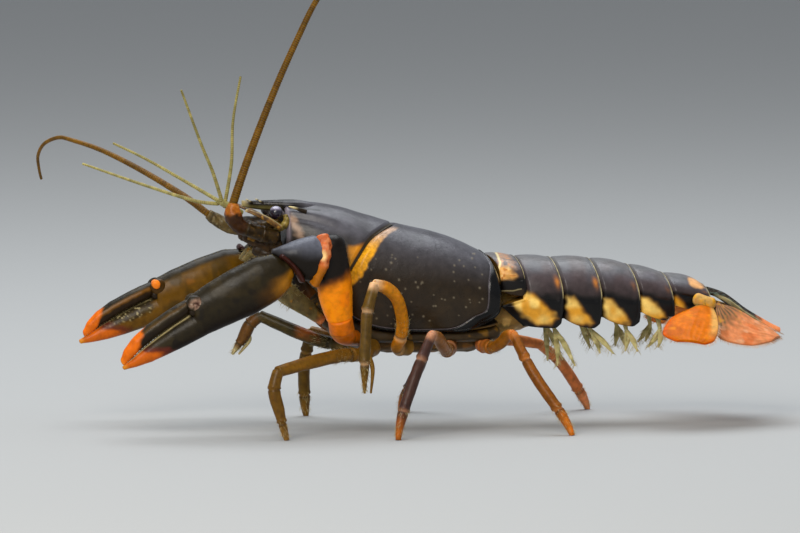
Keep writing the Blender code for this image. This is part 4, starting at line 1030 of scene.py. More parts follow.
def endopod_paint(points, along, around):
    """Pinkish orange with dark streaks that fade down the plate."""
    streaks = np.cos(2 * math.pi * folded_share(around) * 7) * 0.5 + 0.5
    dark = (1 - soft(along + 0.1 * noise(points, 0.8, 86), 0.25, 0.5)) * (0.45 + 0.5 * streaks)
    return layered(
        mottled(points, (srgb(212, 132, 84), srgb(204, 112, 62), srgb(216, 150, 108)), 2.0, 85),
        (srgb(88, 82, 60), dark),
        (YELLOW, 0.5 * dark * soft(noise(points, 0.7, 87), 0.2, 0.6))), 0.4


def make_tail(material, hair_material):
    """The telson, the fan's outer and inner plates, and their fringe of hairs."""
    fringe = Form()
    rows = [((x, -y, z), (x, y, z)) for x, y, z in TELSON_ROWS]

    def ridges(marks, f):
        return 0.1 * hump(np.abs(f - 0.5), 0.28, 0.05) * (1 - soft(marks, 0.6, 0.9))

    rings, left, right = blade(rows, 0.5, (0.9, 1.2, 1.2, 1.0, 0.8, 0.6), 70, 110, ridges)
    form = Form()
    form.add(rings, telson_paint, 0.05, 0.05)
    form.make("telson_plate", material, ["telson"], "shell")
    fringe_row(fringe, [right[-28:], left[::-1][:28]], (0.9, 0, -0.35), 1.3)

    for side, word in SIDES.items():
        form = Form()
        rows = swung(EXOPOD_ROWS, side)
        rings, left, right = blade(rows, 0.35, FAN_THICKNESSES, 64, 100, ribbed)
        form.add(rings, exopod_paint, 0.05, 0.05)
        root = mirrored(PROTOPOD, side)
        line = smooth_line([root + (-1.3, side * -0.5, 0.5), root, root + (1.2, side * 0.2, -0.3)], 0.15)
        knob_paint = speckled((srgb(196, 152, 84), YELLOW * 0.75, OLIVE), 0.8, 84, 0.38)
        form.add(tube(line, 2.3, 2.3, (0, 1, 0), 24), knob_paint, 0.7, 0.7)
        form.make(f"outer_fan_{word}", material, [f"exopod_{word}"], "tail_fan")
        fringe_row(fringe, [np.concatenate([left[30:], right[::-1][:60]])], rows[-1][0] - rows[0][0], 1.0)

        form = Form()
        rows = mirrored(ENDOPOD_ROWS, side)
        rings, left, right = blade(rows, 0.35, FAN_THICKNESSES, 64, 100, ribbed)
        form.add(rings, endopod_paint, 0.05, 0.05)
        form.make(f"inner_fan_{word}", material, [f"endopod_{word}"], "tail_fan")
        fringe_row(fringe, [np.concatenate([right[25:], left[::-1][:45]])], rows[-1][0] - rows[0][0], 1.0)
    fringe.make("fan_fringe", hair_material, (), "tail_fan")


def fringe_row(form, outlines, outward, length):
    """A close row of fine hairs round the edge of a fan plate."""
    rng = np.random.default_rng(SEED + 1)
    outward = unit(np.array(outward, dtype=float))
    for outline in outlines:
        dense = smooth_line(outline[::4], FRINGE_SPACING)
        away = unit(dense - outline.mean(axis=0)) * 0.7 + outward * 0.8
        away = away + rng.normal(0, 0.12, dense.shape)
        lengths = length * rng.uniform(0.55, 1.0, len(dense))
        form.hairs(dense, away, lengths, FRINGE_THICKNESS, PINK_CREAM * 0.8, droop=0.15)


# Claws

PALM = ((-0.5, -1.3, 2.6, 2.6), (0.7, -2.5, 4.2, 4.0), (3.5, -3.5, 5.2, 5.2), (8.8, -3.6, 5.5, 5.8),
        (13.5, -3.0, 5.4, 5.6), (17.8, -2.5, 5.0, 4.6), (18.1, -2.5, 2.3, 4.2), (22.0, -2.35, 2.1, 3.7),
        (25.5, -2.1, 1.7, 3.1), (28.8, -1.75, 1.2, 2.5), (31.6, -1.2, 0.55, 1.8), (33.7, -0.6, 0.2, 0.9))
DACTYL = ((18.3, 2.3, 4.9, 2.6), (20.3, 2.15, 4.9, 3.3), (22.5, 2.05, 4.8, 3.2), (26.5, 1.65, 4.4, 2.8),
          (29.8, 1.1, 3.7, 2.3), (32.2, 0.45, 2.6, 1.7), (33.4, 0.15, 1.5, 0.9))
FAR_FINGER_CUT = 0.9            # how much shorter the right claw's moving finger is
CLAW_ENDS = {LEFT: ((-29.0, -17.0, 29.5), (-58.8, -15.0, 12.5)),
             RIGHT: ((-30.0, 16.0, 27.3), (-61.1, 15.0, 15.0))}
CLAW_SIDES = 72
SECTION_BLUR = np.hanning(9)[1:-1]      # weights that smooth the sections along a claw
# Distances from the wrist where each row starts and ends, and its spacing
TEETH, GRAINS, BRISTLES = (19.6, 32.4, 0.62), (0.8, 17.0, 0.75), (20.0, 33.0, 0.5)


def claw_axes(side):
    """The claw's wrist, its direction, its thickness direction and its upward direction."""
    wrist, tip = np.array(CLAW_ENDS[side][0]), np.array(CLAW_ENDS[side][1])
    along = unit(tip - wrist)
    thick = np.array([0.0, 1.0, 0.0])
    thick = unit(thick - along * thick.dot(along))
    up = np.cross(along, thick)
    return wrist, along, thick, up if up[2] > 0 else -up


def claw_rings(side, table, rows):
    """Rings of a claw piece, its sections smoothed along the way."""
    wrist, along, thick, up = claw_axes(side)
    d = np.linspace(table[0][0], table[-1][0], rows)
    weights = SECTION_BLUR / SECTION_BLUR.sum()
    sections = [np.pad(height_at(table, d, k), len(weights) // 2, mode="edge") for k in (1, 2, 3)]
    low, high, width = [np.convolve(section, weights, "valid") for section in sections]
    c, s = turns(CLAW_SIDES, 0.95)
    centre = wrist + along * d[:, None] + up * ((low + high) / 2)[:, None]
    return (centre[:, None] + thick * c[None, :, None] * (width / 2)[:, None, None]
            + up * s[None, :, None] * ((high - low) / 2)[:, None, None])


def claw_place(points, side, table):
    """For points of a claw: distance from the wrist, height from -1 to 1, and face from -1 to 1 (outer)."""
    wrist, along, thick, up = claw_axes(side)
    d, h = (points - wrist) @ along, (points - wrist) @ up
    low, high, width = [height_at(table, d, k) for k in (1, 2, 3)]
    height = (h - (low + high) / 2) / np.maximum((high - low) / 2, 0.1)
    return d, height, (points - wrist) @ thick / np.maximum(width / 2, 0.1) * side


def palm_tone(points):
    """The claw's dark olive brown."""
    return mottled(points, (srgb(36, 29, 14), srgb(46, 37, 18), srgb(27, 21, 12)), 2.2, 91)


def palm_paint(side):
    """Dark above and outside, tan on the inner face, warm at the wrist, with red and orange tips."""
    def paint(points, along, around):
        d, height, outer = claw_place(points, side, PALM)
        inner = soft(-outer, 0.2, 0.6)
        if side == RIGHT:
            inner = soft(-outer + 0.15 * noise(points, 1.2, 92), 0.05, 0.45)
        tan = mottled(points, (srgb(98, 66, 6), srgb(74, 52, 6), srgb(122, 76, 6)), 2.6, 93)
        gape = soft(height + 0.2 * noise(points, 0.8, 89), 0.0, 0.35) * soft(d, 18.6, 20.0)
        low_warm = (1 - soft(height + 0.1 * noise(points, 1.5, 94), -0.55, 0.0)) * (1 - soft(d, 2.5, 8.5))
        start = 25.6 + 3.2 * soft(height, -0.6, 0.8)
        reach = d + 0.6 * noise(points, 0.9, 95)
        bite = soft(height, 0.84, 0.95) * soft(d, 18.6, 19.5) * (0.8 if side == LEFT else 0.15)
        return layered(
            palm_tone(points),
            (srgb(16, 7, 2), 0.9 * (1 - soft(height + 0.1 * noise(points, 1.5, 90), -0.9, 0.0))),
            (tan, inner * (1 - soft(height, 0.66, 0.84))),
            (mottled(points, (srgb(40, 32, 14), srgb(70, 58, 28), CREAM * 0.45), 0.5, 88),
             0.9 * gape * soft(-outer, -0.2, 0.3)),
            (blend(srgb(84, 52, 4), srgb(158, 102, 14), 1 - soft(d, 1.5, 5.0)), 0.9 * low_warm),
            (DARK_RED, 0.8 * soft(reach, start - 1.8, start)),
            (HOT_ORANGE * 0.8, soft(reach, start, start + 1.6)),
            (YELLOW * 0.8, 0.5 * soft(d, 32.6, 33.8)),
            (CREAM * 0.8, bite * soft(outer, -0.75, -0.3))), 0.36 + 0.06 * noise(points, 1.0, 97)
    return paint


def finger_table(side):
    """The moving finger's sections; the right claw's finger is a little shorter."""
    root, length = DACTYL[0][0], DACTYL[-1][0] - DACTYL[0][0]
    scale = 1 - FAR_FINGER_CUT / length if side == RIGHT else 1.0
    return [(root + (d - root) * scale, *rest) for d, *rest in DACTYL]


def dactyl_paint(side):
    """Dark with a painted highlight along its upper outer face, a tan inner face, painted shade over its
    lower edge and an orange tip.
    """
    def paint(points, along, around):
        d, height, outer = claw_place(points, side, finger_table(side))
        start = 28.8 - 1.4 * height + (0.6 if side == RIGHT else 0.0)
        return layered(
            mottled(points, (srgb(40, 33, 17), srgb(52, 42, 19), srgb(27, 22, 13)), 1.6, 101),
            # painted highlight: a lighter brown strip along the upper outer face
            (srgb(92, 64, 20), 0.6 * hump(height, 0.55, 0.2) * soft(outer, -0.2, 0.4)),
            (TAN * 0.6, 0.85 * soft(-outer, 0.1, 0.6) * (1 - soft(height, 0.35, 0.7))),
            # painted shade: dark over the lower edge, towards the biting face
            (srgb(30, 20, 8), 0.95 * (1 - soft(height + 0.15 * noise(points, 0.8, 100), -0.15, 0.3))),
            (HOT_ORANGE, soft(d + 0.5 * noise(points, 0.8, 102), start - 0.7, start + 0.6)),
            (YELLOW, 0.5 * soft(d, 33.0, 34.0))), 0.36 + 0.06 * noise(points, 1.0, 103)
    return paint


def claw_teeth(form, side, table, column, rises):
    """Blunt teeth and grains along a biting edge; rises says how far a grain and a tooth stand out."""
    wrist, along, _, up = claw_axes(side)
    for k, d in enumerate(np.arange(*TEETH)):
        large = k % 3 == 1
        size = (0.32 if large else 0.2) * (1.15 - 0.02 * (d - 19))
        rise, away = rises[large], np.sign(rises[large])
        base = wrist + along * d + up * (height_at(table, d, column) - away * 0.25)
        line = smooth_line([base, base + up * rise, base + up * (rise + away * 0.22)], 0.06)
        width = np.linspace(size * 2, size * 1.1, len(line))
        tone = CREAM * 0.5 if large else OCHRE * 0.45
        form.add(tube(line, width, width, along, 10), plain(tone, 0.35), 0.2, 0.6)


HINGE = (17.15, 3.7)            # the finger's hinge: along the claw from the wrist, and up
HINGE_RADIUS = 1.5
GRAIN_RADIUS = 0.08


def add_hinge_lobes(form, side):
    """Rounded lobes of the palm on both faces, which carry the finger's hinge between them."""
    wrist, along, thick, up = claw_axes(side)
    centre = wrist + along * HINGE[0] + up * HINGE[1]
    spans = np.array([1.0, 0.98, 0.88, 0.7, 0.4, 0.15]) * 2 * HINGE_RADIUS
    for face in (-1, 1):
        outer = face * side > 0

        def paint(points, steps, around):
            tint = palm_tone(points)
            if side == RIGHT and not outer:
                tint = blend(tint, srgb(74, 48, 6), 0.8)
            if side == LEFT and outer:
                from_centre = points - centre
                distance = np.linalg.norm(from_centre - thick * (from_centre @ thick)[..., None], axis=-1)
                distance = distance + texture(points, (0.4, 0.7, 98), (0.15, 0.3, 99))
                colours = srgb(176, 140, 118), srgb(112, 84, 66), srgb(206, 176, 152)
                scar = mottled(points, colours, 0.4, 96)
                tint = layered(tint, (scar, 0.75 * (1 - soft(distance, 0.7, 1.4))),
                               (srgb(54, 22, 14), 1 - soft(distance, 0.1, 0.5)))
            return tint, 0.38

        line = centre + thick * face * np.array([1.2, 1.7, 2.0, 2.2, 2.3, 2.26])[:, None]
        form.add(tube(line, spans, spans, along, 40), paint, 0.1, 0.1)
    if side == RIGHT:
        knob = wrist + along * 17.5 + up * 4.4
        line = np.linspace(knob - thick * 2.6, knob - thick * 1.4, 8)
        form.add(tube(line, 1.5, 1.7, along, 24), plain(srgb(240, 128, 30)), 0.5, 0.1)


def add_grains(form, side, rng):
    """Two rows of small rounded grains along the palm's upper edge."""
    wrist, along, thick, up = claw_axes(side)
    for d in np.arange(*GRAINS):
        for row, height in ((-0.55, 0.12), (0.45, 0.1)):
            place = wrist + along * (d + rng.uniform(-0.2, 0.2)) + thick * row
            place = place + up * (height_at(PALM, d, 2) - height)
            radius = GRAIN_RADIUS * rng.uniform(0.7, 1.2)
            widths = np.array([1.5, 2.0, 1.5]) * radius
            line = place + np.outer((-0.8, 0.0, 0.8), (0, 0, radius))
            form.add(tube(line, widths, widths, (0, 1, 0), 8), plain(CREAM * 0.35), 0.3, 0.3)


def make_claws(material, hair_material):
    """Both claws: the palm, the moving finger and the bristles between them."""
    bristles = Form()
    rng = np.random.default_rng(SEED + 2)
    for side, word in SIDES.items():
        wrist, along, thick, up = claw_axes(side)
        form = Form()
        rings = claw_rings(side, PALM, 240)
        rings = swell(rings, texture(rings, (0.03, 1.4, 104), (0.015, 0.4, 105)))
        form.add(rings, palm_paint(side), 0.5, 0.7)
        claw_teeth(form, side, PALM, 2, (0.05, 0.12))
        add_hinge_lobes(form, side)
        add_grains(form, side, rng)
        form.make(f"palm_{word}", material, [f"claw_palm_{word}"], "claw_shell")

        form = Form()
        rings = claw_rings(side, finger_table(side), 150)
        form.add(swell(rings, 0.03 * noise(rings, 0.9, 106)), dactyl_paint(side), 0.6, 0.7)
        claw_teeth(form, side, DACTYL, 1, (-0.04, -0.1))
        root = wrist + along * 18.1 + up * 2.5
        line = np.linspace(root - thick * 1.5, root + thick * 1.5, 12)
        form.add(tube(line, 1.5, 1.5, along, 20), plain(srgb(34, 24, 12)), 0.5, 0.5)
        form.make(f"finger_{word}", material, [f"claw_dactyl_{word}"], "claw_shell")
        for d in np.arange(*BRISTLES):
            for row in (-0.5, 0.5):
                root = wrist + along * d + up * (height_at(PALM, d, 2) - 0.15) + thick * row
                directions = up + thick * row + along * 0.5 + rng.normal(0, 0.25, (2, 3))
                bristles.hairs([root, root], directions, rng.uniform(0.3, 0.6, 2), 0.05, CREAM * 0.6)
    bristles.make("claw_bristles", hair_material, (), "claw_shell")


# The arm's joints with the carpus, and the two segments before it: points, then widths and depths
WRISTS = {LEFT: (-23.52, -16.3, 32.2), RIGHT: (-25.43, 15.4, 31.0)}
CLAW_ARM = {
    LEFT: {
        "ischium": (((-14.6, -5.5, 16.4), (-17.0, -9.0, 17.2), (-18.0, -10.8, 18.6)),
                    ((2.8, 2.8), (3.8, 3.4), (4.6, 4.0))),
        "merus": (((-18.6, -12.2, 20.8), (-19.6, -13.6, 25.0), (-20.3, -14.9, 29.6), (-20.7, -15.8, 34.2)),
                  ((4.8, 3.8), (6.2, 4.6), (6.2, 4.8), (5.2, 4.2))),
    },
    RIGHT: {
        "ischium": (((-14.4, 5.5, 16.8), (-16.6, 8.7, 18.0), (-17.9, 10.0, 19.6)),
                    ((2.8, 2.8), (3.6, 3.3), (4.3, 3.8))),
        "merus": (((-18.8, 11.0, 21.4), (-20.6, 12.6, 25.4), (-22.1, 14.1, 29.6), (-22.8, 14.8, 32.6)),
                  ((4.6, 3.8), (6.0, 4.6), (6.0, 4.8), (5.0, 4.0))),
    },
}
# The carpus from its joint with the arm: forward, across and up, then its width and height
CARPUS_FORM = ((-0.6, 0.15, -0.7, 4.9, 8.1), (1.6, 0.3, -0.25, 5.4, 8.2), (3.3, 0.4, 0.15, 5.4, 6.6),
               (5.0, 0.4, 0.5, 4.8, 4.6), (6.6, 0.3, 0.8, 3.4, 2.5), (8.0, 0.2, 1.0, 1.4, 0.9))
# The soft dark ridge under the carpus: forward and up from the same joint
WRIST_RIDGE = ((6.6, 0.3), (5.3, -0.7), (4.2, -1.9), (3.4, -3.1), (2.9, -4.2))
# The soft joint between arm and carpus: back, across and up from the same joint
WRIST_STRIP = ((1.0, 0.2, 3.2), (1.4, 1.2, 1.4), (0.9, 1.6, -1.2), (0.0, 1.3, -3.5), (-0.6, 0.9, -4.8))


def merus_paint(points, along, around):
    """Bright orange below, black above with a slanting border, the black partly painted shadow from the
    shell above; on the far arm painted shade brings the dark further down and over a patch.
    """
    far = soft(points[..., 1], 0.0, 1.0)
    height = along + texture(points, (0.05, 2.0, 112), (0.02, 0.7, 110)) - 0.02 * (points[..., 0] + 20.0)
    # painted shade: on the far arm the black reaches further down
    height = height + 0.3 * far
    # painted shade: a dark patch on the far arm
    shaded = patch(points, [(294, 278), (324, 278), (324, 304), (294, 302)], 1.5, both_sides=False)
    return layered(
        mottled(points, (srgb(255, 146, 2), srgb(250, 134, 2), srgb(255, 152, 8)), 3.0, 111),
        (srgb(110, 52, 6), 0.7 * soft(height, 0.4, 0.6)),
        # black above, partly the arm's own colour and partly painted shadow under the shell
        (BLACK, soft(height, 0.48, 0.66)),
        (srgb(44, 28, 8), 0.9 * shaded * far)), 0.36


def carpus_paint(points, along, around):
    """Dark brown below, with a painted bluish grey sheen on top."""
    # painted sheen: bluish grey over the top, by height
    lit = soft(points[..., 2] + 0.15 * points[..., 0] + 0.5 * noise(points, 2.0, 113), 27.6, 31.4)
    return blend(srgb(22, 16, 9), srgb(92, 94, 104), lit), 0.34


def ischium_paint(points, along, around):
    """Dull orange, brighter at its end, with painted shade darkening the far side."""
    return layered(
        mottled(points, (ORANGE * 0.7, srgb(196, 104, 6), srgb(150, 84, 8)), 2.0, 114),
        (srgb(236, 150, 60), 0.4 * soft(along, 0.92, 1.0)),
        # painted shade: the far arm darker
        (srgb(70, 40, 12), 0.8 * soft(points[..., 1], 0.0, 1.0))), 0.4


def make_arms(material):
    """The three segments between each claw and the body."""
    for side, word in SIDES.items():
        arm, joint = CLAW_ARM[side], np.array(WRISTS[side])

        def segment(name, points, sizes, across, paint, start, end):
            form = Form()
            rings = sized_tube(points, sizes, across, 0.18, 60)
            rings = swell(rings, texture(rings, (0.06, 1.8, 115), (0.02, 0.5, 116)))
            form.add(rings, paint, start, end)
            return form, (f"arm_{name}_{word}", material, [f"claw_{name}_{word}"])

        form, names = segment("ischium", *arm["ischium"], (1, 0, 0), ischium_paint, 0.35, 0.35)
        add_socket(form, arm["ischium"][0][-1], arm["merus"][0][0], 4.5, ORANGE * 0.75)
        form.make(*names, "orange_joint")
        form, names = segment("merus", *arm["merus"], (1, 0, 0), merus_paint, 0.35, 0.9)
        add_joint_strip(form, side)
        form.make(*names, "orange_joint")
        droop = 0.2 if side == RIGHT else 0.0
        points = [joint + (-forward * (1 - droop), side * across, up - forward * droop)
                  for forward, across, up, _, _ in CARPUS_FORM]
        sizes = [station[3:] for station in CARPUS_FORM]
        form, names = segment("carpus", points, sizes, (0, 1, 0), carpus_paint, 0.15, 0.35)
        ridge = smooth_line([joint + (-forward, side * 1.2, up) for forward, up in WRIST_RIDGE], 0.15)
        rings = tube(ridge, 3.8, 1.1, (0, 1, 0), 28)
        form.add(swell(rings, 0.15 * noise(rings, 0.9, 119)), plain(srgb(52, 20, 12)), 0.7, 0.7)
        form.make(*names, "claw_shell")


def add_joint_strip(form, side):
    """The soft orange-pink joint between the claw's arm and its wrist."""
    joint = np.array(WRISTS[side])
    line = smooth_line([joint + (x, side * y, z) for x, y, z in WRIST_STRIP], 0.15)
    rings = tube(line, np.linspace(2.7, 1.6, len(line)), 2.8, (1, 0, 0), 28)
    rings = swell(rings, texture(rings, (0.22, 0.9, 117), (0.06, 0.35, 120)))

    def paint(points, along, around):
        return layered(
            mottled(points, (srgb(196, 96, 44), srgb(206, 122, 74), srgb(150, 66, 24)), 0.7, 118),
            (srgb(246, 210, 140), 0.8 * spot(points, (324, 256), (3.5, 5), 0.6, False)),
            (srgb(166, 96, 10), soft(along, 0.5, 0.7))), 0.42

    form.add(rings, paint, 0.5, 0.5)
    socket = smooth_line([joint + (-0.2, 0, 0), joint + (1.4, side * -0.2, -0.2)], 0.15)
    form.add(tube(socket, 3.6, 5.4, (0, 1, 0), 36), plain(PINK_ORANGE * 0.7), 0.1, 0.1)


def add_socket(form, start, end, width, tint):
    """Soft skin that bridges the thin gap between two hard pieces."""
    start, end = np.array(start, dtype=float), np.array(end, dtype=float)
    line = np.linspace(start, end, 10)
    across = (0, 1, 0) if abs(unit(end - start)[1]) < 0.8 else (1, 0, 0)
    form.add(tube(line, width, width, across, 24), plain(tint, 0.45), 0.2, 0.2)


# Walking legs

LEG_ROUTES = {
    ("leg2", LEFT): (((-11.6, -5.8, 14.8), (-14.4, -9.2, 13.8), (-18.6, -13.0, 14.0), (-25.0, -17.8, 13.3),
                      (-31.6, -22.2, 12.1)),
                     ((-32.3, -22.8, 9.0), (-31.5, -23.2, 5.3), (-30.2, -24.0, 0.0))),
    ("leg3", LEFT): (((-5.4, -6.08, 14.8), (-7.6, -8.6, 14.9), (-7.2, -11.0, 17.2), (-7.3, -12.5, 20.5),
                      (-8.7, -15.0, 24.2), (-11.0, -17.0, 26.4), (-13.4, -18.0, 27.0)),
                     ((-14.8, -19.4, 22.6), (-15.2, -20.0, 18.6), (-15.5, -20.5, 13.7),
                      (-15.6, -20.9, 8.0))),
    ("leg4", LEFT): (((2.4, -5.8, 14.8), (1.4, -9.6, 14.2), (-0.4, -14.4, 15.8), (-1.8, -17.6, 17.4),
                      (-3.4, -20.2, 17.9)),
                     ((-6.3, -23.0, 12.4), (-9.7, -26.0, 4.2), (-10.6, -27.0, 0.0))),
    ("leg5", LEFT): (((8.6, -5.2, 15.0), (9.6, -8.4, 14.6), (10.8, -11.4, 15.6), (11.7, -13.6, 17.2),
                      (12.5, -15.2, 17.4)),
                     ((15.4, -19.6, 10.7), (20.0, -23.0, 3.4), (21.6, -24.0, 0.0))),
    ("leg2", RIGHT): (((-11.6, 5.85, 14.8), (-14.4, 8.2, 14.0), (-18.4, 11.0, 14.6), (-22.6, 13.6, 16.2),
                       (-28.4, 16.4, 18.7)),
                      ((-30.0, 16.8, 17.2), (-31.2, 17.0, 14.9), (-33.2, 17.2, 11.8))),
    ("leg3", RIGHT): (((-5.4, 6.08, 14.8), (-8.2, 9.4, 13.8), (-10.8, 11.8, 13.8), (-13.6, 13.8, 14.4),
                       (-18.9, 17.2, 15.6)),
                      ((-19.7, 19.2, 9.4), (-19.4, 20.4, 3.0), (-19.1, 20.8, 0.0))),
    ("leg4", RIGHT): (((2.4, 5.65, 14.8), (2.6, 9.4, 14.0), (3.0, 12.4, 14.2), (3.6, 16.0, 14.8),
                       (4.1, 20.2, 15.4)),
                      ((2.2, 23.4, 8.4), (-0.2, 25.4, 2.6), (-0.9, 26.0, 0.0))),
    ("leg5", RIGHT): (((8.6, 5.4, 15.0), (11.4, 8.8, 14.4), (14.8, 11.6, 14.1), (18.6, 14.0, 13.7),
                       (23.4, 17.2, 12.6)),
                      ((27.8, 20.6, 8.8), (32.2, 23.4, 2.6), (33.4, 24.2, 0.0))),
}
HANGING_LEGS = (("leg3", LEFT), ("leg2", RIGHT))    # their pincers hang clear of the floor
LEG_SIZES = {"leg2": (2.3, 2.0), "leg3": (2.2, 1.9), "leg4": (2.1, 1.9), "leg5": (2.0, 1.8)}
LEG_SIDES = 28
KNEE_OVERLAP = 0.35
BRISTLE_THICKNESS = 0.055

# Leg colours: root, upper, knee, lower and tip
PURPLE_BROWN = srgb(66, 42, 34)
LEG_COLOURS = {
    ("leg2", LEFT): (OCHRE * 0.4, srgb(122, 82, 14), srgb(110, 76, 20), srgb(100, 68, 14),
                     srgb(126, 90, 32)),
    ("leg3", LEFT): (OCHRE * 0.5, srgb(196, 122, 12), srgb(214, 170, 124), srgb(92, 68, 22),
                     srgb(118, 84, 24)),
    ("leg4", LEFT): (srgb(128, 78, 34), srgb(134, 84, 34), srgb(176, 124, 92), PURPLE_BROWN,
                     srgb(162, 88, 20)),
    ("leg5", LEFT): (srgb(170, 96, 44), srgb(140, 84, 14), srgb(184, 110, 44), srgb(124, 70, 10),
                     srgb(196, 108, 18)),
    ("leg2", RIGHT): (OCHRE * 0.4, srgb(66, 54, 18), OLIVE_BROWN, srgb(98, 64, 24), CREAM * 0.6),
    ("leg3", RIGHT): (OCHRE * 0.4, srgb(116, 78, 16), OCHRE * 0.6, srgb(94, 68, 14), srgb(122, 86, 26)),
    ("leg4", RIGHT): (srgb(120, 74, 30), srgb(150, 90, 36), srgb(190, 116, 60), PURPLE_BROWN,
                      srgb(170, 96, 28)),
    ("leg5", RIGHT): (ORANGE * 0.6, srgb(188, 108, 48), srgb(206, 122, 62), srgb(196, 112, 56),
                      srgb(222, 138, 86)),
}
LEG_JOINTS = {"upper": (0.13, 0.3), "lower": (0.27, 0.74)}     # their shares along each half


def leg_widths(leg, upper_count, lower_count, stands):
    """The width at each point of a leg: broad at its root, and a standing leg's tip is blunt."""
    size, low_size = LEG_SIZES[leg]
    return ([size * 1.45] + [size] * (upper_count - 2) + [size * 0.85, low_size * 1.08]
            + [low_size] * (lower_count - 2) + [0.95 if stands else 0.5])


def joint_relief(rings, joints):
    """Each joint swells a little, then pinches in."""
    along = shares_along(rings)
    return sum(0.13 * hump(along, joint - 0.025, 0.02) - 0.16 * hump(along, joint, 0.012)
               for joint in joints)


def leg_paint(leg, side, half):
    """The leg's colours from root to tip, with streaks, specks and dark joints."""
    root, upper, knee, lower, tip = LEG_COLOURS[leg, side]

    def paint(points, along, around):
        streak = 1 + 0.16 * np.cos(2 * math.pi * around * 3 + 1.0)
        if half == "upper":
            tint = layered(root, (upper, soft(along, 0.1, 0.3)), (knee, soft(along, 0.9, 0.99)))
        else:
            tint = layered(knee, (lower, soft(along, 0.03, 0.12)), (tip, soft(along, 0.74, 0.9)))
        tint = tint * (streak * (1 + 0.12 * noise(points, 1.1, 122)))[..., None]
        tint = blend(tint, tint * 0.55, 0.5 * soft(noise(points, 0.45, 121), 0.3, 0.7))
        if (leg, side, half) == ("leg2", RIGHT, "upper"):
            warm = mottled(points, (srgb(176, 96, 26), srgb(120, 88, 22), srgb(190, 92, 34)), 0.8, 125)
            place = [(297, 316), (317, 322), (317, 340), (297, 336)]
            tint = blend(tint, warm, 0.75 * patch(points, place, 6.0, 2.0, both_sides=False))
        for joint in LEG_JOINTS[half]:
            tint = layered(tint, (knee * 0.9, 0.7 * hump(along, joint, 0.018)),
                           (BROWN_BLACK, 0.5 * hump(along, joint + 0.02, 0.01)))
        return tint, 0.38
    return paint


def make_legs(material, hair_material):
    """The eight walking legs, each in two halves that meet at the knee."""
    bristles = Form()
    rng = np.random.default_rng(SEED + 3)
    for (leg, side), (upper_points, lower_points) in LEG_ROUTES.items():
        path = np.array(upper_points + lower_points, dtype=float)
        bend = len(upper_points) - 1
        stands = (leg, side) not in HANGING_LEGS
        widths = leg_widths(leg, len(upper_points), len(lower_points), stands)
        forward = unit(path[bend + 1] - path[bend - 1])
        hinge = unit(np.cross(path[bend] - path[0], path[-1] - path[bend]))
        before = path[bend] - forward * GAP / 2
        after = path[bend] + forward * (GAP / 2 - KNEE_OVERLAP)
        tip_bulge = 0.0 if stands else 0.6
        # For each half: its points, widths, noise seed, how its ends bulge and where its bristles are
        halves = {
            "upper": ([*path[:bend], before], widths[:bend + 1], 123, (0.4, 0.3), (0.3, 0.5)),
            "lower": ([after, *path[bend + 1:]], widths[bend:], 124, (0.3, tip_bulge), (0.7, 1.0)),
        }
        for half, (points, sizes, seed, ends, bristled) in halves.items():
            form = Form()
            rings = sized_tube(points, [(w, w * 1.05) for w in sizes], hinge, 0.16, LEG_SIDES)
            rings = swell(rings, joint_relief(rings, LEG_JOINTS[half]) + 0.03 * noise(rings, 0.8, seed))
            rings[..., 2] = np.maximum(rings[..., 2], 0.0)
            form.add(rings, leg_paint(leg, side, half), *ends)
            if half == "lower" and not stands:
                add_pincer_finger(form, path, LEG_SIZES[leg][1], LEG_COLOURS[leg, side][4])
            name = "thigh" if half == "upper" else "shin"
            form.make(f"{leg}_{name}_{SIDES[side]}", material, [f"{leg}_{half}_{SIDES[side]}"], "leg_shell")
            add_leg_bristles(bristles, rings, rng, *bristled)
    bristles.make("leg_bristles", hair_material, (), "leg_shell")


def add_pincer_finger(form, path, size, tint):
    """The small finger beside the tip of a hanging leg."""
    palm_end, tip = path[-2], path[-1]
    side = np.array([1.0, 0, 0]) * size * 0.75
    root = palm_end + (path[-3] - palm_end) * 0.25 + side * 0.3
    points = [root, palm_end + (tip - palm_end) * 0.25 + side, tip + side * 0.8]
    rings = sized_tube(points, [(1.0, 1.0), (0.9, 0.8), (0.4, 0.4)], (0, 1, 0), 0.12, 16)
    form.add(rings, plain(tint, 0.38), 0.3, 0.7)


def add_leg_bristles(form, rings, rng, low, high):
    """Short stiff hairs along a stretch of a leg."""
    rows = len(rings)
    count = int(rows * 0.9)
    row = rng.integers(int(rows * low), int(rows * high) - 3, count)
    roots = rings[row, rng.integers(0, rings.shape[1], count)]
    keep = roots[:, 2] > 0.7
    middles = rings.mean(axis=1)
    forward = unit(middles[row] - middles[np.maximum(row - 3, 0)] + 1e-6)
    directions = unit(roots - middles[row]) * 0.6 + forward * 0.9 + rng.normal(0, 0.15, roots.shape)
    lengths = rng.uniform(0.35, 0.9, keep.sum())
    form.hairs(roots[keep], directions[keep], lengths, BRISTLE_THICKNESS, CREAM * 0.7, droop=0.05)


# Feelers

WHIP_ROUTES = {
    LEFT: ((-36.85, -6.3, 40.6), (-36.7, -6.4, 41.9), (-34.0, -7.5, 50.3), (-29.9, -9.0, 61.4),
           (-26.0, -10.5, 70.7), (-22.4, -12.0, 78.3), (-16.5, -14.5, 87.0), (-8.5, -17.0, 93.5),
           (1.0, -19.5, 97.0), (9.5, -21.5, 97.6)),
    RIGHT: ((-39.2, 6.0, 38.0), (-40.2, 6.15, 38.75), (-43.5, 9.0, 41.3), (-50.0, 15.0, 45.4),
            (-56.2, 21.0, 48.6), (-60.8, 27.0, 50.1), (-62.9, 30.0, 50.4), (-64.9, 34.0, 49.0),
            (-65.6, 37.0, 46.6), (-65.0, 39.5, 43.8), (-64.4, 41.0, 42.1)),
}
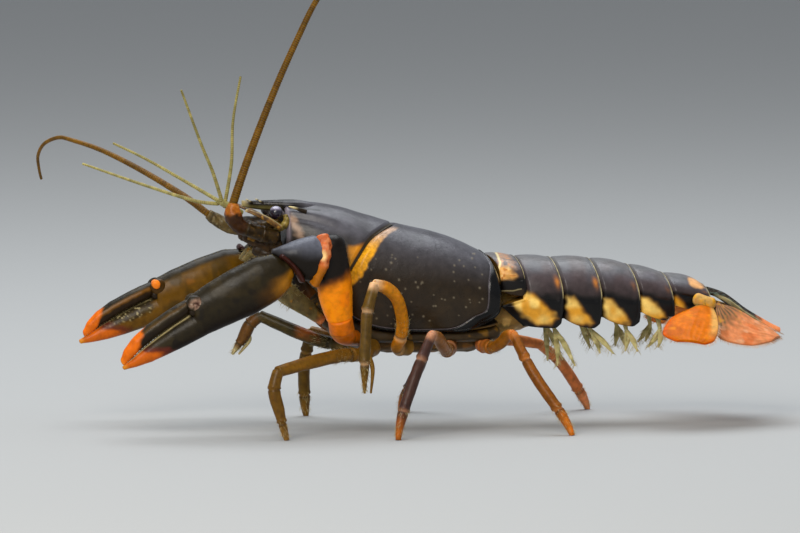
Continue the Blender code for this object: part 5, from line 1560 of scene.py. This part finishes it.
# A feeler's width at its root and at its tip, and the length of one of its many short rings
WHIP_SIZES = {LEFT: (1.6, 0.5, 0.42), RIGHT: (1.3, 0.5, 0.42)}
SHORT_FEELER_SIZES = (0.72, 0.42, 0.36)
ANTENNULE_ROUTES = {
    LEFT: (((-38.3, -2.1, 41.2), (-40.2, -3.4, 46.6), (-42.6, -5.0, 51.9), (-46.6, -8.0, 61.6)),
           ((-37.6, -1.8, 41.2), (-36.6, -2.4, 48.0), (-36.4, -3.0, 55.6), (-35.2, -4.0, 63.6))),
    RIGHT: (((-38.3, 1.8, 40.9), (-44.3, 5.0, 44.5), (-50.7, 7.0, 48.2), (-56.2, 9.0, 50.9)),
            ((-38.2, 2.2, 40.3), (-42.4, 4.2, 40.8), (-50.5, 8.0, 43.3), (-60.8, 15.0, 46.8))),
}


def ringed_feeler(form, route, thick, thin, ring, light, dark):
    """A whip of many short rings, each a little wider at its far end."""
    line = smooth_line(route, ring / 6)
    travelled = lengths_along(line)
    phase = (travelled / ring) % 1.0
    width = (thick + (thin - thick) * travelled / travelled[-1]) * (0.9 + 0.16 * phase)

    def paint(points, along, around):
        marks = np.linspace(0, 1, len(line))
        whole = np.floor(np.interp(along, marks, travelled / ring))
        tint = blend(light, dark, soft(1 - np.interp(along, marks, phase), 0.6, 0.95))
        shade = 0.8 + 0.4 * scrambled(whole.astype(np.int64) // 3, 3, 1, SEED)
        return tint * shade[..., None], 0.42

    form.add(tube(line, width, width, (0.2, 1, 0.1), 14), paint, 0.3, 0.6)


def make_feelers(material):
    """The two long feelers and the two pairs of short ones."""
    for side, word in SIDES.items():
        form = Form()
        ringed_feeler(form, WHIP_ROUTES[side], *WHIP_SIZES[side], FEELER, srgb(60, 38, 6))
        form.make(f"feeler_{word}", material, [f"antenna_{word}_1", f"antenna_{word}_2"], "feeler")
        form = Form()
        path = mirrored([(-34.7, 1.5, 38.8), (-36.6, 1.8, 40.0), (-38.3, 2.0, 40.9)], side)
        rings = sized_tube(path, [(1.5, 1.3), (1.6, 1.4), (1.2, 1.2)], (0, 1, 0), 0.12, 20)
        form.add(swell(rings, joint_relief(rings, (0.36, 0.68))), plain(PALE_OLIVE * 0.85), 0.3, 0.3)
        for route in ANTENNULE_ROUTES[side]:
            ringed_feeler(form, route, *SHORT_FEELER_SIZES, PALE_OLIVE, OLIVE * 0.7)
        form.make(f"short_feelers_{word}", material, [f"antennule_{word}"], "feeler")


# The face

def make_face(material, eye_material, hair_material):
    """The mouth block and all that stands round it."""
    form = Form()
    path = [(-28.0, 0, 35.4), (-30.2, 0, 35.5), (-32.5, 0, 36.0), (-34.4, 0, 36.8), (-35.8, 0, 37.5)]
    sizes = [(8.0, 6.0), (7.6, 5.8), (6.4, 4.6), (4.8, 3.0), (3.4, 1.8)]
    rings = sized_tube(path, sizes, (0, 1, 0), 0.14, 90)

    def paint(points, along, around):
        tint = mottled(points, (srgb(44, 31, 14), srgb(30, 20, 9), srgb(70, 50, 20)), 0.6, 133)
        return blend(tint, YELLOW * 0.6, 0.7 * spot(points, (280, 224), (7, 6), 0.6)), 0.45

    form.add(swell(rings, texture(rings, (0.16, 0.9, 131), (0.06, 0.35, 132))), paint, 0.1, 0.4)
    add_mouth_lumps(form)
    form.make("face_plates", material, ["face"], "shell_brown")
    for side, word in SIDES.items():
        make_eye(side, word, eye_material)
        make_feeler_base(side, word, material)
        make_scale(side, word, material)
        make_maxilliped(side, word, material, hair_material)


# The mouth's small plates on the far side: start, end, width and colour
MOUTH_LUMPS = (
    ((-29.4, 3.9, 37.0), (-31.0, 3.9, 36.4), 1.6, srgb(78, 58, 24)),
    ((-28.6, 4.0, 35.0), (-30.6, 4.1, 34.4), 2.0, srgb(52, 38, 18)),
    ((-28.2, 3.4, 33.4), (-29.8, 3.0, 32.6), 1.8, srgb(50, 36, 18)),
    ((-31.0, 3.5, 34.2), (-33.0, 3.0, 34.6), 1.3, srgb(86, 62, 26)),
    ((-30.0, 3.4, 32.8), (-33.8, 2.5, 34.9), 1.9, srgb(66, 46, 24)),
    ((-29.2, 3.4, 31.0), (-32.2, 2.8, 32.6), 1.8, srgb(54, 40, 24)),
    ((-28.2, 3.6, 31.6), (-29.4, 3.8, 34.6), 2.0, srgb(60, 44, 24)),
    ((-31.4, 3.6, 35.3), (-34.4, 2.6, 36.4), 1.5, srgb(96, 72, 34)),
    ((-32.6, 3.4, 34.2), (-33.6, 3.2, 34.6), 0.8, OCHRE * 0.8),
)
# The skin under the eye on the far side, and its widths and depths
EYE_RIM = ((-27.2, 4.7, 38.6), (-27.1, 4.9, 37.5), (-27.9, 4.9, 36.5), (-29.2, 4.8, 36.0))
EYE_RIM_SIZES = ((0.9, 0.9), (1.3, 1.2), (1.3, 1.3), (0.8, 0.9))


def add_mouth_lumps(form):
    """Overlapping small plates of the jaws and the feelers' roots, and the rim under each eye."""
    brow_paint = speckled((srgb(132, 112, 48), srgb(92, 78, 36), srgb(164, 142, 76)), 0.6, 137, 0.4)
    for side in SIDES:
        for start, end, width, tint in MOUTH_LUMPS:
            rings = tube(smooth_line(mirrored([start, end], side), 0.14), width, width * 1.3, (0, 1, 0), 24)
            form.add(swell(rings, 0.1 * noise(rings, 0.5, 134)), plain(tint, 0.42), 0.7, 0.7)
        rings = sized_tube(mirrored(EYE_RIM, side), EYE_RIM_SIZES, (0, 1, 0), 0.12, 24)
        form.add(swell(rings, 0.1 * noise(rings, 0.5, 136)), brow_paint, 0.5, 0.5)
        add_thorn(form, *mirrored([(-28.3, 4.9, 36.4), (-29.2, 5.4, 36.8)], side), 0.3, CREAM, OCHRE)


EYE_CENTRE, EYE_RADIUS = (-28.9, 4.6, 39.1), 1.25
EYE_ROOT = (-27.3, 2.6, 38.2)
STALK_FOLDS = 5


def make_eye(side, word, material):
    """One eye: a glossy ball with a painted lilac-grey reflection over its top, on a short folded stalk."""
    centre, root = mirrored([EYE_CENTRE, EYE_ROOT], side)
    axis = unit(mirrored((-0.35, 1.0, 0.25), side))
    angles = np.linspace(0.12, math.pi - 0.12, 40)
    line = centre + axis * (-np.cos(angles) * EYE_RADIUS)[:, None]
    widths = 2 * EYE_RADIUS * np.sin(angles)

    def eye_paint(points, along, around):
        # painted reflection: lilac-grey over the ball's upper half
        upper = soft((points[..., 2] - centre[2]) / EYE_RADIUS + 0.1 * noise(points, 0.4, 135), 0.3, 0.8)
        rim = 1 - soft(along, 0.22, 0.34)
        tint = layered(srgb(22, 14, 32), (srgb(158, 150, 172), 0.75 * upper), (srgb(130, 122, 130), rim))
        return tint, 0.12 + 0.25 * rim

    def folds(along):
        return np.cos(along * 2 * math.pi * STALK_FOLDS)

    def stalk_paint(points, along, around):
        return blend(srgb(128, 118, 116), srgb(60, 54, 54), 0.5 + 0.5 * folds(along)), 0.4

    form = Form()
    form.add(tube(line, widths, widths, (0, 0, 1), 48), eye_paint, 0.1, 0.1)
    line = smooth_line([root, (root + centre) / 2, centre - axis * 0.2], 0.1)
    rings = tube(line, np.linspace(1.7, 2.1, len(line)), np.linspace(1.3, 1.9, len(line)), (0, 0, 1), 32)
    form.add(swell(rings, 0.05 * folds(shares_along(rings))), stalk_paint, 0.1, 0.1)
    form.make(f"eye_ball_{word}", material, [f"eye_{word}"], "eye")


# The feelers' thick lower joints on the far side: points, then widths and depths
FEELER_BASES = {
    LEFT: (((-29.0, 5.3, 34.8), (-31.6, 5.6, 35.5), (-34.0, 6.3, 36.2), (-36.2, 6.3, 37.4),
            (-37.0, 6.3, 39.2), (-36.9, 6.3, 40.9)),
           ((2.4, 2.6), (2.9, 2.9), (2.4, 2.4), (2.9, 2.9), (3.2, 3.1), (2.1, 2.1))),
    RIGHT: (((-29.0, 5.3, 34.8), (-31.8, 5.6, 35.4), (-34.6, 6.2, 35.5), (-37.2, 6.1, 36.7),
             (-39.4, 6.0, 38.1)),
            ((2.4, 2.6), (2.9, 2.9), (2.3, 2.3), (2.5, 2.5), (1.9, 1.9))),
}
BASE_JOINTS = (0.26, 0.52)


def make_feeler_base(side, word, material):
    """A long feeler's thick lower joints."""
    path, sizes = FEELER_BASES[side]
    rings = sized_tube(mirrored(path, side), sizes, (0, 1, 0), 0.12, 48)
    rings = swell(rings, 0.5 * joint_relief(rings, BASE_JOINTS) + 0.12 * noise(rings, 0.8, 141))

    def paint(points, along, around):
        ball = soft(along, 0.5, 0.56)
        # painted light: the near ball is orange along its top, over a dark base
        lit = soft(points[..., 2] + 0.4 * noise(points, 0.6, 143), 38.7, 39.6)
        grey = mottled(points, (srgb(106, 88, 52), srgb(74, 60, 32), srgb(128, 112, 76)), 0.8, 147)
        near = ((srgb(56, 30, 6), ball), (srgb(156, 86, 12), lit * ball),
                (srgb(190, 120, 44), 0.6 * hump(along, 0.97, 0.03)))
        far = ((grey, soft(along, 0.3, 0.5)),)
        joints = [(srgb(60, 44, 20), 0.5 * hump(along, joint, 0.02)) for joint in BASE_JOINTS]
        tint = mottled(points, (srgb(58, 42, 18), srgb(38, 27, 12), srgb(84, 60, 22)), 0.7, 142)
        return layered(tint, *(near if side == LEFT else far), *joints), 0.38

    form = Form()
    form.add(rings, paint, 0.3, 0.3)
    form.make(f"feeler_root_{word}", material, [f"antenna_base_{word}"], "feeler")


def make_scale(side, word, material):
    """The flat pointed scale beside a feeler's base."""
    rows = (((-28.6, 7.2, 36.3), (-28.4, 5.6, 36.6)), ((-30.6, 7.9, 37.6), (-30.4, 5.3, 38.1)),
            ((-32.6, 7.9, 38.8), (-32.4, 5.6, 38.9)), ((-34.9, 7.3, 39.7), (-34.7, 6.8, 39.7)))
    rings, _, _ = blade(mirrored(rows, side), 0.2, (0.7, 0.6, 0.55, 0.4), 36, 60,
                        lambda m, f: 0.12 * hump(f, 0.14, 0.1) + 0.08 * hump(f, 0.6, 0.08))

    def paint(points, along, around):
        return layered(
            mottled(points, (srgb(110, 78, 38), srgb(72, 50, 28), OCHRE * 0.8), 0.7, 144),
            (CREAM * 0.5, 0.75 * hump(folded_share(around), 0.5, 0.1)),
            (CREAM * 0.8, 0.7 * soft(along, 0.9, 1.0))), 0.4

    form = Form()
    form.add(rings, paint, 0.1, 0.3)
    form.make(f"feeler_scale_{word}", material, [f"antennal_scale_{word}"], "shell_brown")


JAW_BRISTLES = 260              # how many bristles one jaw leg has


def make_maxilliped(side, word, material, hair_material):
    """A jaw leg, folded up under the mouth, and its bristles."""
    path = [(-20.05, 2.3, 19.35), (-22.8, 2.7, 21.6), (-26.4, 2.8, 24.4), (-29.0, 2.7, 28.2),
            (-30.6, 2.4, 31.0), (-32.6, 2.1, 31.7), (-34.2, 1.8, 30.4)]
    sizes = [(1.6, 1.8), (1.8, 3.0), (1.8, 3.7), (1.6, 2.8), (1.5, 2.0), (1.2, 1.6), (0.7, 0.8)]
    rings = sized_tube(mirrored(path, side), sizes, (0, 1, 0), 0.14, 44)
    rings = swell(rings, joint_relief(rings, (0.5, 0.66, 0.82)) + 0.04 * noise(rings, 0.7, 145))

    def paint(points, along, around):
        return layered(
            mottled(points, (srgb(112, 98, 58), srgb(88, 74, 42), OCHRE * 0.8), 1.0, 146),
            (CREAM * 0.7, 0.4 * hump(np.abs((around * 4) % 2 - 1), 0.0, 0.3)),
            (PINK_ORANGE * 0.8, 0.8 * (1 - soft(along, 0.02, 0.1)))), 0.4

    form = Form()
    form.add(rings, paint, 0.3, 0.6)
    form.make(f"jaw_leg_{word}", material, [f"maxilliped_{word}"], "shell_brown")
    rng = np.random.default_rng(SEED + 5 + side)
    rows = rng.integers(int(len(rings) * 0.3), len(rings) - 2, JAW_BRISTLES)
    roots = rings[rows, rng.integers(0, rings.shape[1], JAW_BRISTLES)]
    out = unit(roots - rings.mean(axis=1)[rows]) + np.array([-0.2, 0, -0.5])
    out = out + rng.normal(0, 0.2, roots.shape)
    hair = Form()
    hair.hairs(roots, out, rng.uniform(0.5, 1.1, JAW_BRISTLES), 0.06, CREAM * 0.6, droop=0.1)
    hair.make(f"jaw_bristles_{word}", hair_material, (), "shell_brown")


# Breastplate and swimmerets

LEG_ROOTS = ((-11.6, 2.9), (-5.4, 2.9), (2.4, 2.8), (8.6, 2.6))     # place along the body and size
PLATE_LENGTH = 6.8


def make_underside(material):
    """The breastplate with the legs' roots, and the flesh above it."""
    path = [(-18.6, 0, 19.2), (-16, 0, 17.6), (-11, 0, 15.8), (-4, 0, 15.3), (3, 0, 15.3), (8.5, 0, 15.4),
            (11.2, 0, 16.0)]
    sizes = [(5.6, 3.4), (8.2, 4.2), (9.6, 4.2), (9.8, 4.2), (9.6, 4.2), (8.8, 4.0), (7.0, 3.2)]
    rings = sized_tube(path, sizes, (0, 1, 0), 0.18, 100)

    def seams(points, width):
        return hump((points[..., 0] + 2.0) % PLATE_LENGTH, PLATE_LENGTH / 2, width)

    def paint(points, along, around):
        tint = mottled(points, (srgb(86, 62, 26), srgb(66, 50, 22), srgb(120, 80, 30)), 1.6, 153)
        return blend(tint, srgb(52, 40, 26), 0.5 * seams(points, 0.5)), 0.45

    form = Form()
    relief = texture(rings, (0.2, 1.6, 151), (0.07, 0.6, 152)) - 0.3 * seams(rings, 0.4)
    form.add(swell(rings, relief), paint, 0.4, 0.4)
    root_paint = speckled((srgb(150, 92, 46), srgb(110, 72, 30), srgb(176, 120, 72)), 1.0, 155, 0.42)
    for side in SIDES:
        for x, size in LEG_ROOTS:
            line = smooth_line(mirrored([(x + 0.2, 3.6, 15.0), (x - 0.1, 5.5, 14.9)], side), 0.2)
            rings = tube(line, size, size, (1, 0, 0), 32)
            form.add(swell(rings, 0.12 * noise(rings, 0.8, 154)), root_paint, 0.4, 0.2)
    add_body_wall(form)
    form.make("breastplate", material, ["underside"], "soft_olive")


def add_body_wall(form):
    """The body wall between the shell's lower margin and the breastplate, painted dark brown as the shade
    under the margin, and the flesh behind it.
    """
    x = np.linspace(-20.5, 10.8, 120)
    low, foot = curve_value(CARAPACE, x, 2), curve_value(CARAPACE, x, 4)
    bottom, top = np.maximum(15.2, low - 3.0), low + 0.4
    line = np.stack([x, np.zeros(len(x)), (top + bottom) / 2], axis=1)
    rings = tube(line, 2 * (foot - 1.5), top - bottom, (0, 1, 0), 72, 0.7)
    # painted shade: the wall's dark brown stands for the shade under the shell's margin
    wall_shade_paint = speckled((srgb(64, 50, 30), srgb(44, 34, 24), OCHRE * 0.45), 1.4, 157, 0.45)
    form.add(swell(rings, 0.12 * noise(rings, 1.0, 156)), wall_shade_paint, 0.1, 0.9)
    path = [(8.0, 0, 18.8), (12.0, 0, 20.4), (16.0, 0, 21.0), (20.0, 0, 21.2), (24.0, 0, 21.4)]
    sizes = [(10.5, 7.4), (11.0, 9.4), (11.0, 7.8), (10.6, 5.4), (9.5, 3.0)]
    rings = sized_tube(path, sizes, (0, 1, 0), 0.2, 80)
    flesh_paint = speckled((srgb(150, 114, 56), srgb(112, 88, 44), srgb(190, 150, 84)), 1.2, 160, 0.42)
    form.add(swell(rings, texture(rings, (0.18, 1.1, 158), (0.06, 0.4, 159))), flesh_paint, 0.3, 0.3)


# The swimmerets: ring, place along the body, how far back each blade hangs, and the height of its tip
PLEOPODS = ((2, 21.0, (1.4, 4.4), 10.8), (3, 27.6, (2.6, 4.8), 12.9), (4, 34.2, (0.6, 2.6), 13.2),
            (5, 40.4, (-1.4, 0.2), 13.9))
PLEOPOD_SPREAD = 4.3
BAR_THICKNESS = 0.9
SWIMMERET_SIZES = ((0.6, 0.5), (1.05, 0.45), (0.2, 0.2))
BLADE_HAIRS = 46                # how many hairs fringe one swimmeret's blade


def make_swimmerets(material, hair_material):
    """Four pairs of swimmerets, each pair on a bar under its ring."""
    fringe = Form()
    rng = np.random.default_rng(SEED + 8)
    for number, x, hangs, tip_z in PLEOPODS:
        front, rear = SEGMENT_ENDS[number - 1], SEGMENT_ENDS[number]
        low = float(pleuron_low(number - 1, (x - front) / (rear - front)))
        top = float(curve_value(ABDOMEN, np.array([x]), 1)[0])
        bar_z = low + BELLY_SHARE * (top - low) - GAP - BAR_THICKNESS / 2
        form = Form()
        line = np.linspace((x, -PLEOPOD_SPREAD, bar_z), (x, PLEOPOD_SPREAD, bar_z), 40)
        form.add(tube(line, 1.1, BAR_THICKNESS, (1, 0, 0), 16), plain(OLIVE * 0.8), 0.4, 0.4)
        for side in SIDES:
            root = np.array([x, side * PLEOPOD_SPREAD, bar_z])
            fork = root + (0.8, side * 0.4, -4.0)
            line = smooth_line([root, (root + fork) / 2, fork], 0.12)
            rings = tube(line, np.linspace(1.2, 0.7, len(line)), 0.8, (1, 0, 0), 18)
            form.add(rings, swimmeret_paint, 0.4, 0.4)
            for k, hang in enumerate(hangs):
                tip = np.array([x + hang, side * (PLEOPOD_SPREAD + 0.6 + 1.2 * k), tip_z])
                middle = (fork + tip) / 2 + (0.2, side * 0.3, 0)
                rings = sized_tube([fork, middle, tip], SWIMMERET_SIZES, (1, 0, 0), 0.12, 22)
                form.add(rings, swimmeret_paint, 0.3, 0.6)
                fringe_hairs(fringe, rings, rng)
        form.make(f"swimmeret_pair_{number}", material, [f"swimmerets_{number}"], "soft_olive")
    fringe.make("swimmeret_fringe", hair_material, (), "soft_olive")


def swimmeret_paint(points, along, around):
    """Pale olive with cream edges and tips."""
    tint = mottled(points, (srgb(184, 172, 118), srgb(148, 138, 88), srgb(204, 192, 142)), 0.9, 161)
    edge = hump((around * 2) % 1, 0.0, 0.1)
    return blend(tint, CREAM * 0.8, 0.5 * edge + 0.3 * soft(along, 0.7, 1.0)), 0.42


def fringe_hairs(form, rings, rng):
    """Fine hairs along both edges of a swimmeret's blade."""
    rows = len(rings)
    pick = rng.integers(int(rows * 0.25), rows - 1, BLADE_HAIRS)
    roots = rings[pick, rng.choice([0, rings.shape[1] // 2], BLADE_HAIRS)]
    directions = unit(roots - rings.mean(axis=1)[pick]) * 0.7 + np.array([0, 0, -1.0])
    directions = directions + rng.normal(0, 0.12, roots.shape)
    form.hairs(roots, directions, rng.uniform(0.7, 1.3, BLADE_HAIRS), BRISTLE_THICKNESS, CREAM * 0.65)


# Light, floor and camera

AIM = Vector((np.array([-4.9, 3.4, 28.4]) + ORIGIN) * MM)
LIT_POINT = Vector((0, 0, 0.025))
BACKWARD = Vector((-0.173, -0.981, 0.087)).normalized()
CAMERA_DISTANCE = 3.0
LENS, SENSOR_WIDTH = 750.0, 36.0        # in millimetres
LIGHTS = (("overhead", (0.0, 0.15, 0.55), 3.4, 0.5, (0.9, 0.95, 1.0)),
          ("front", (-0.3, -0.6, 0.42), 4.3, 0.4, (1.0, 0.95, 0.87)))


def add_camera():
    """The photo's view: a long lens from the near side, a little above the floor."""
    data = bpy.data.cameras.new("camera")
    data.lens = LENS
    data.sensor_width = SENSOR_WIDTH
    data.clip_end = 20
    camera = bpy.data.objects.new("camera", data)
    camera.location = AIM + BACKWARD * CAMERA_DISTANCE
    camera.rotation_euler = BACKWARD.to_track_quat("Z", "Y").to_euler()
    bpy.context.scene.collection.objects.link(camera)
    bpy.context.scene.camera = camera


def add_light(name, place, power, size, colour):
    """One soft square light that faces the animal."""
    data = bpy.data.lights.new(name, "AREA")
    data.energy = power
    data.size = size
    data.color = colour
    light = bpy.data.objects.new(name, data)
    light.location = place
    light.rotation_euler = (Vector(place) - LIT_POINT).to_track_quat("Z", "Y").to_euler()
    bpy.context.scene.collection.objects.link(light)


def add_surroundings():
    """A pale floor, a pale sky and the lights."""
    bpy.ops.mesh.primitive_plane_add(size=14)
    floor = bpy.context.object
    floor.name = "floor"
    material = bpy.data.materials.new("pale_floor")
    material.use_nodes = True
    shader = material.node_tree.nodes["Principled BSDF"]
    shader.inputs["Roughness"].default_value = 0.8
    shader.inputs["Base Color"].default_value = (0.4, 0.4, 0.39, 1)
    floor.data.materials.append(material)
    world = bpy.data.worlds.new("studio")
    world.use_nodes = True
    world.node_tree.nodes["Background"].inputs["Color"].default_value = (0.86, 0.92, 1.0, 1)
    world.node_tree.nodes["Background"].inputs["Strength"].default_value = 0.4
    bpy.context.scene.world = world
    for light in LIGHTS:
        add_light(*light)
    bpy.context.scene.view_settings.view_transform = "Standard"


# Each material's name, grain, bump, mottle, pits, coat, depth of its soft glow and gloss
SURFACES = (
    ("shell", 0.22, 0.3, 0.2, 0.6, 0.06, 0.0, 0.24),
    ("claw", 0.2, 0.22, 0.2, 0.4, 0.03, 0.0, 0.16),
    ("leg", 0.18, 0.3, 0.22, 0.0, 0.04, 0.3, 0.16),
    ("soft", 0.2, 0.45, 0.22, 0.0, 0.0, 0.5, 0.16),
    ("face", 0.16, 0.6, 0.35, 0.0, 0.1, 0.2, 0.16),
    ("fan", 0.18, 0.35, 0.2, 0.0, 0.0, 0.2, 0.04),
    ("eye", 0.07, 0.05, 0.1, 0.2, 1.0, 0.0, 0.24),
    ("hair", 0.1, 0.1, 0.15, 0.0, 0.0, 0.0, 0.24),
)


def build():
    """The materials and every piece."""
    shell, claw, horn, soft_skin, face, fan, eye, hair = [
        surface(name + "_surface", *values) for name, *values in SURFACES]
    make_head(shell)
    make_thorax(shell)
    make_abdomen(shell)
    make_tail(fan, hair)
    make_claws(claw, hair)
    make_arms(claw)
    make_legs(horn, hair)
    make_feelers(horn)
    make_face(face, eye, hair)
    make_underside(soft_skin)
    make_swimmerets(fan, hair)


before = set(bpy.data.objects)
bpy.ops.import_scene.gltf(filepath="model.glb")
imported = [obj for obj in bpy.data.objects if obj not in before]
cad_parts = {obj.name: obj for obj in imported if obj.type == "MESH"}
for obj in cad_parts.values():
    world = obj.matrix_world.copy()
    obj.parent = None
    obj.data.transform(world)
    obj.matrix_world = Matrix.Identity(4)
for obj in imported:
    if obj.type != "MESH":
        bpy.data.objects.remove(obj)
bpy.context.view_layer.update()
add_camera()
add_surroundings()
build()
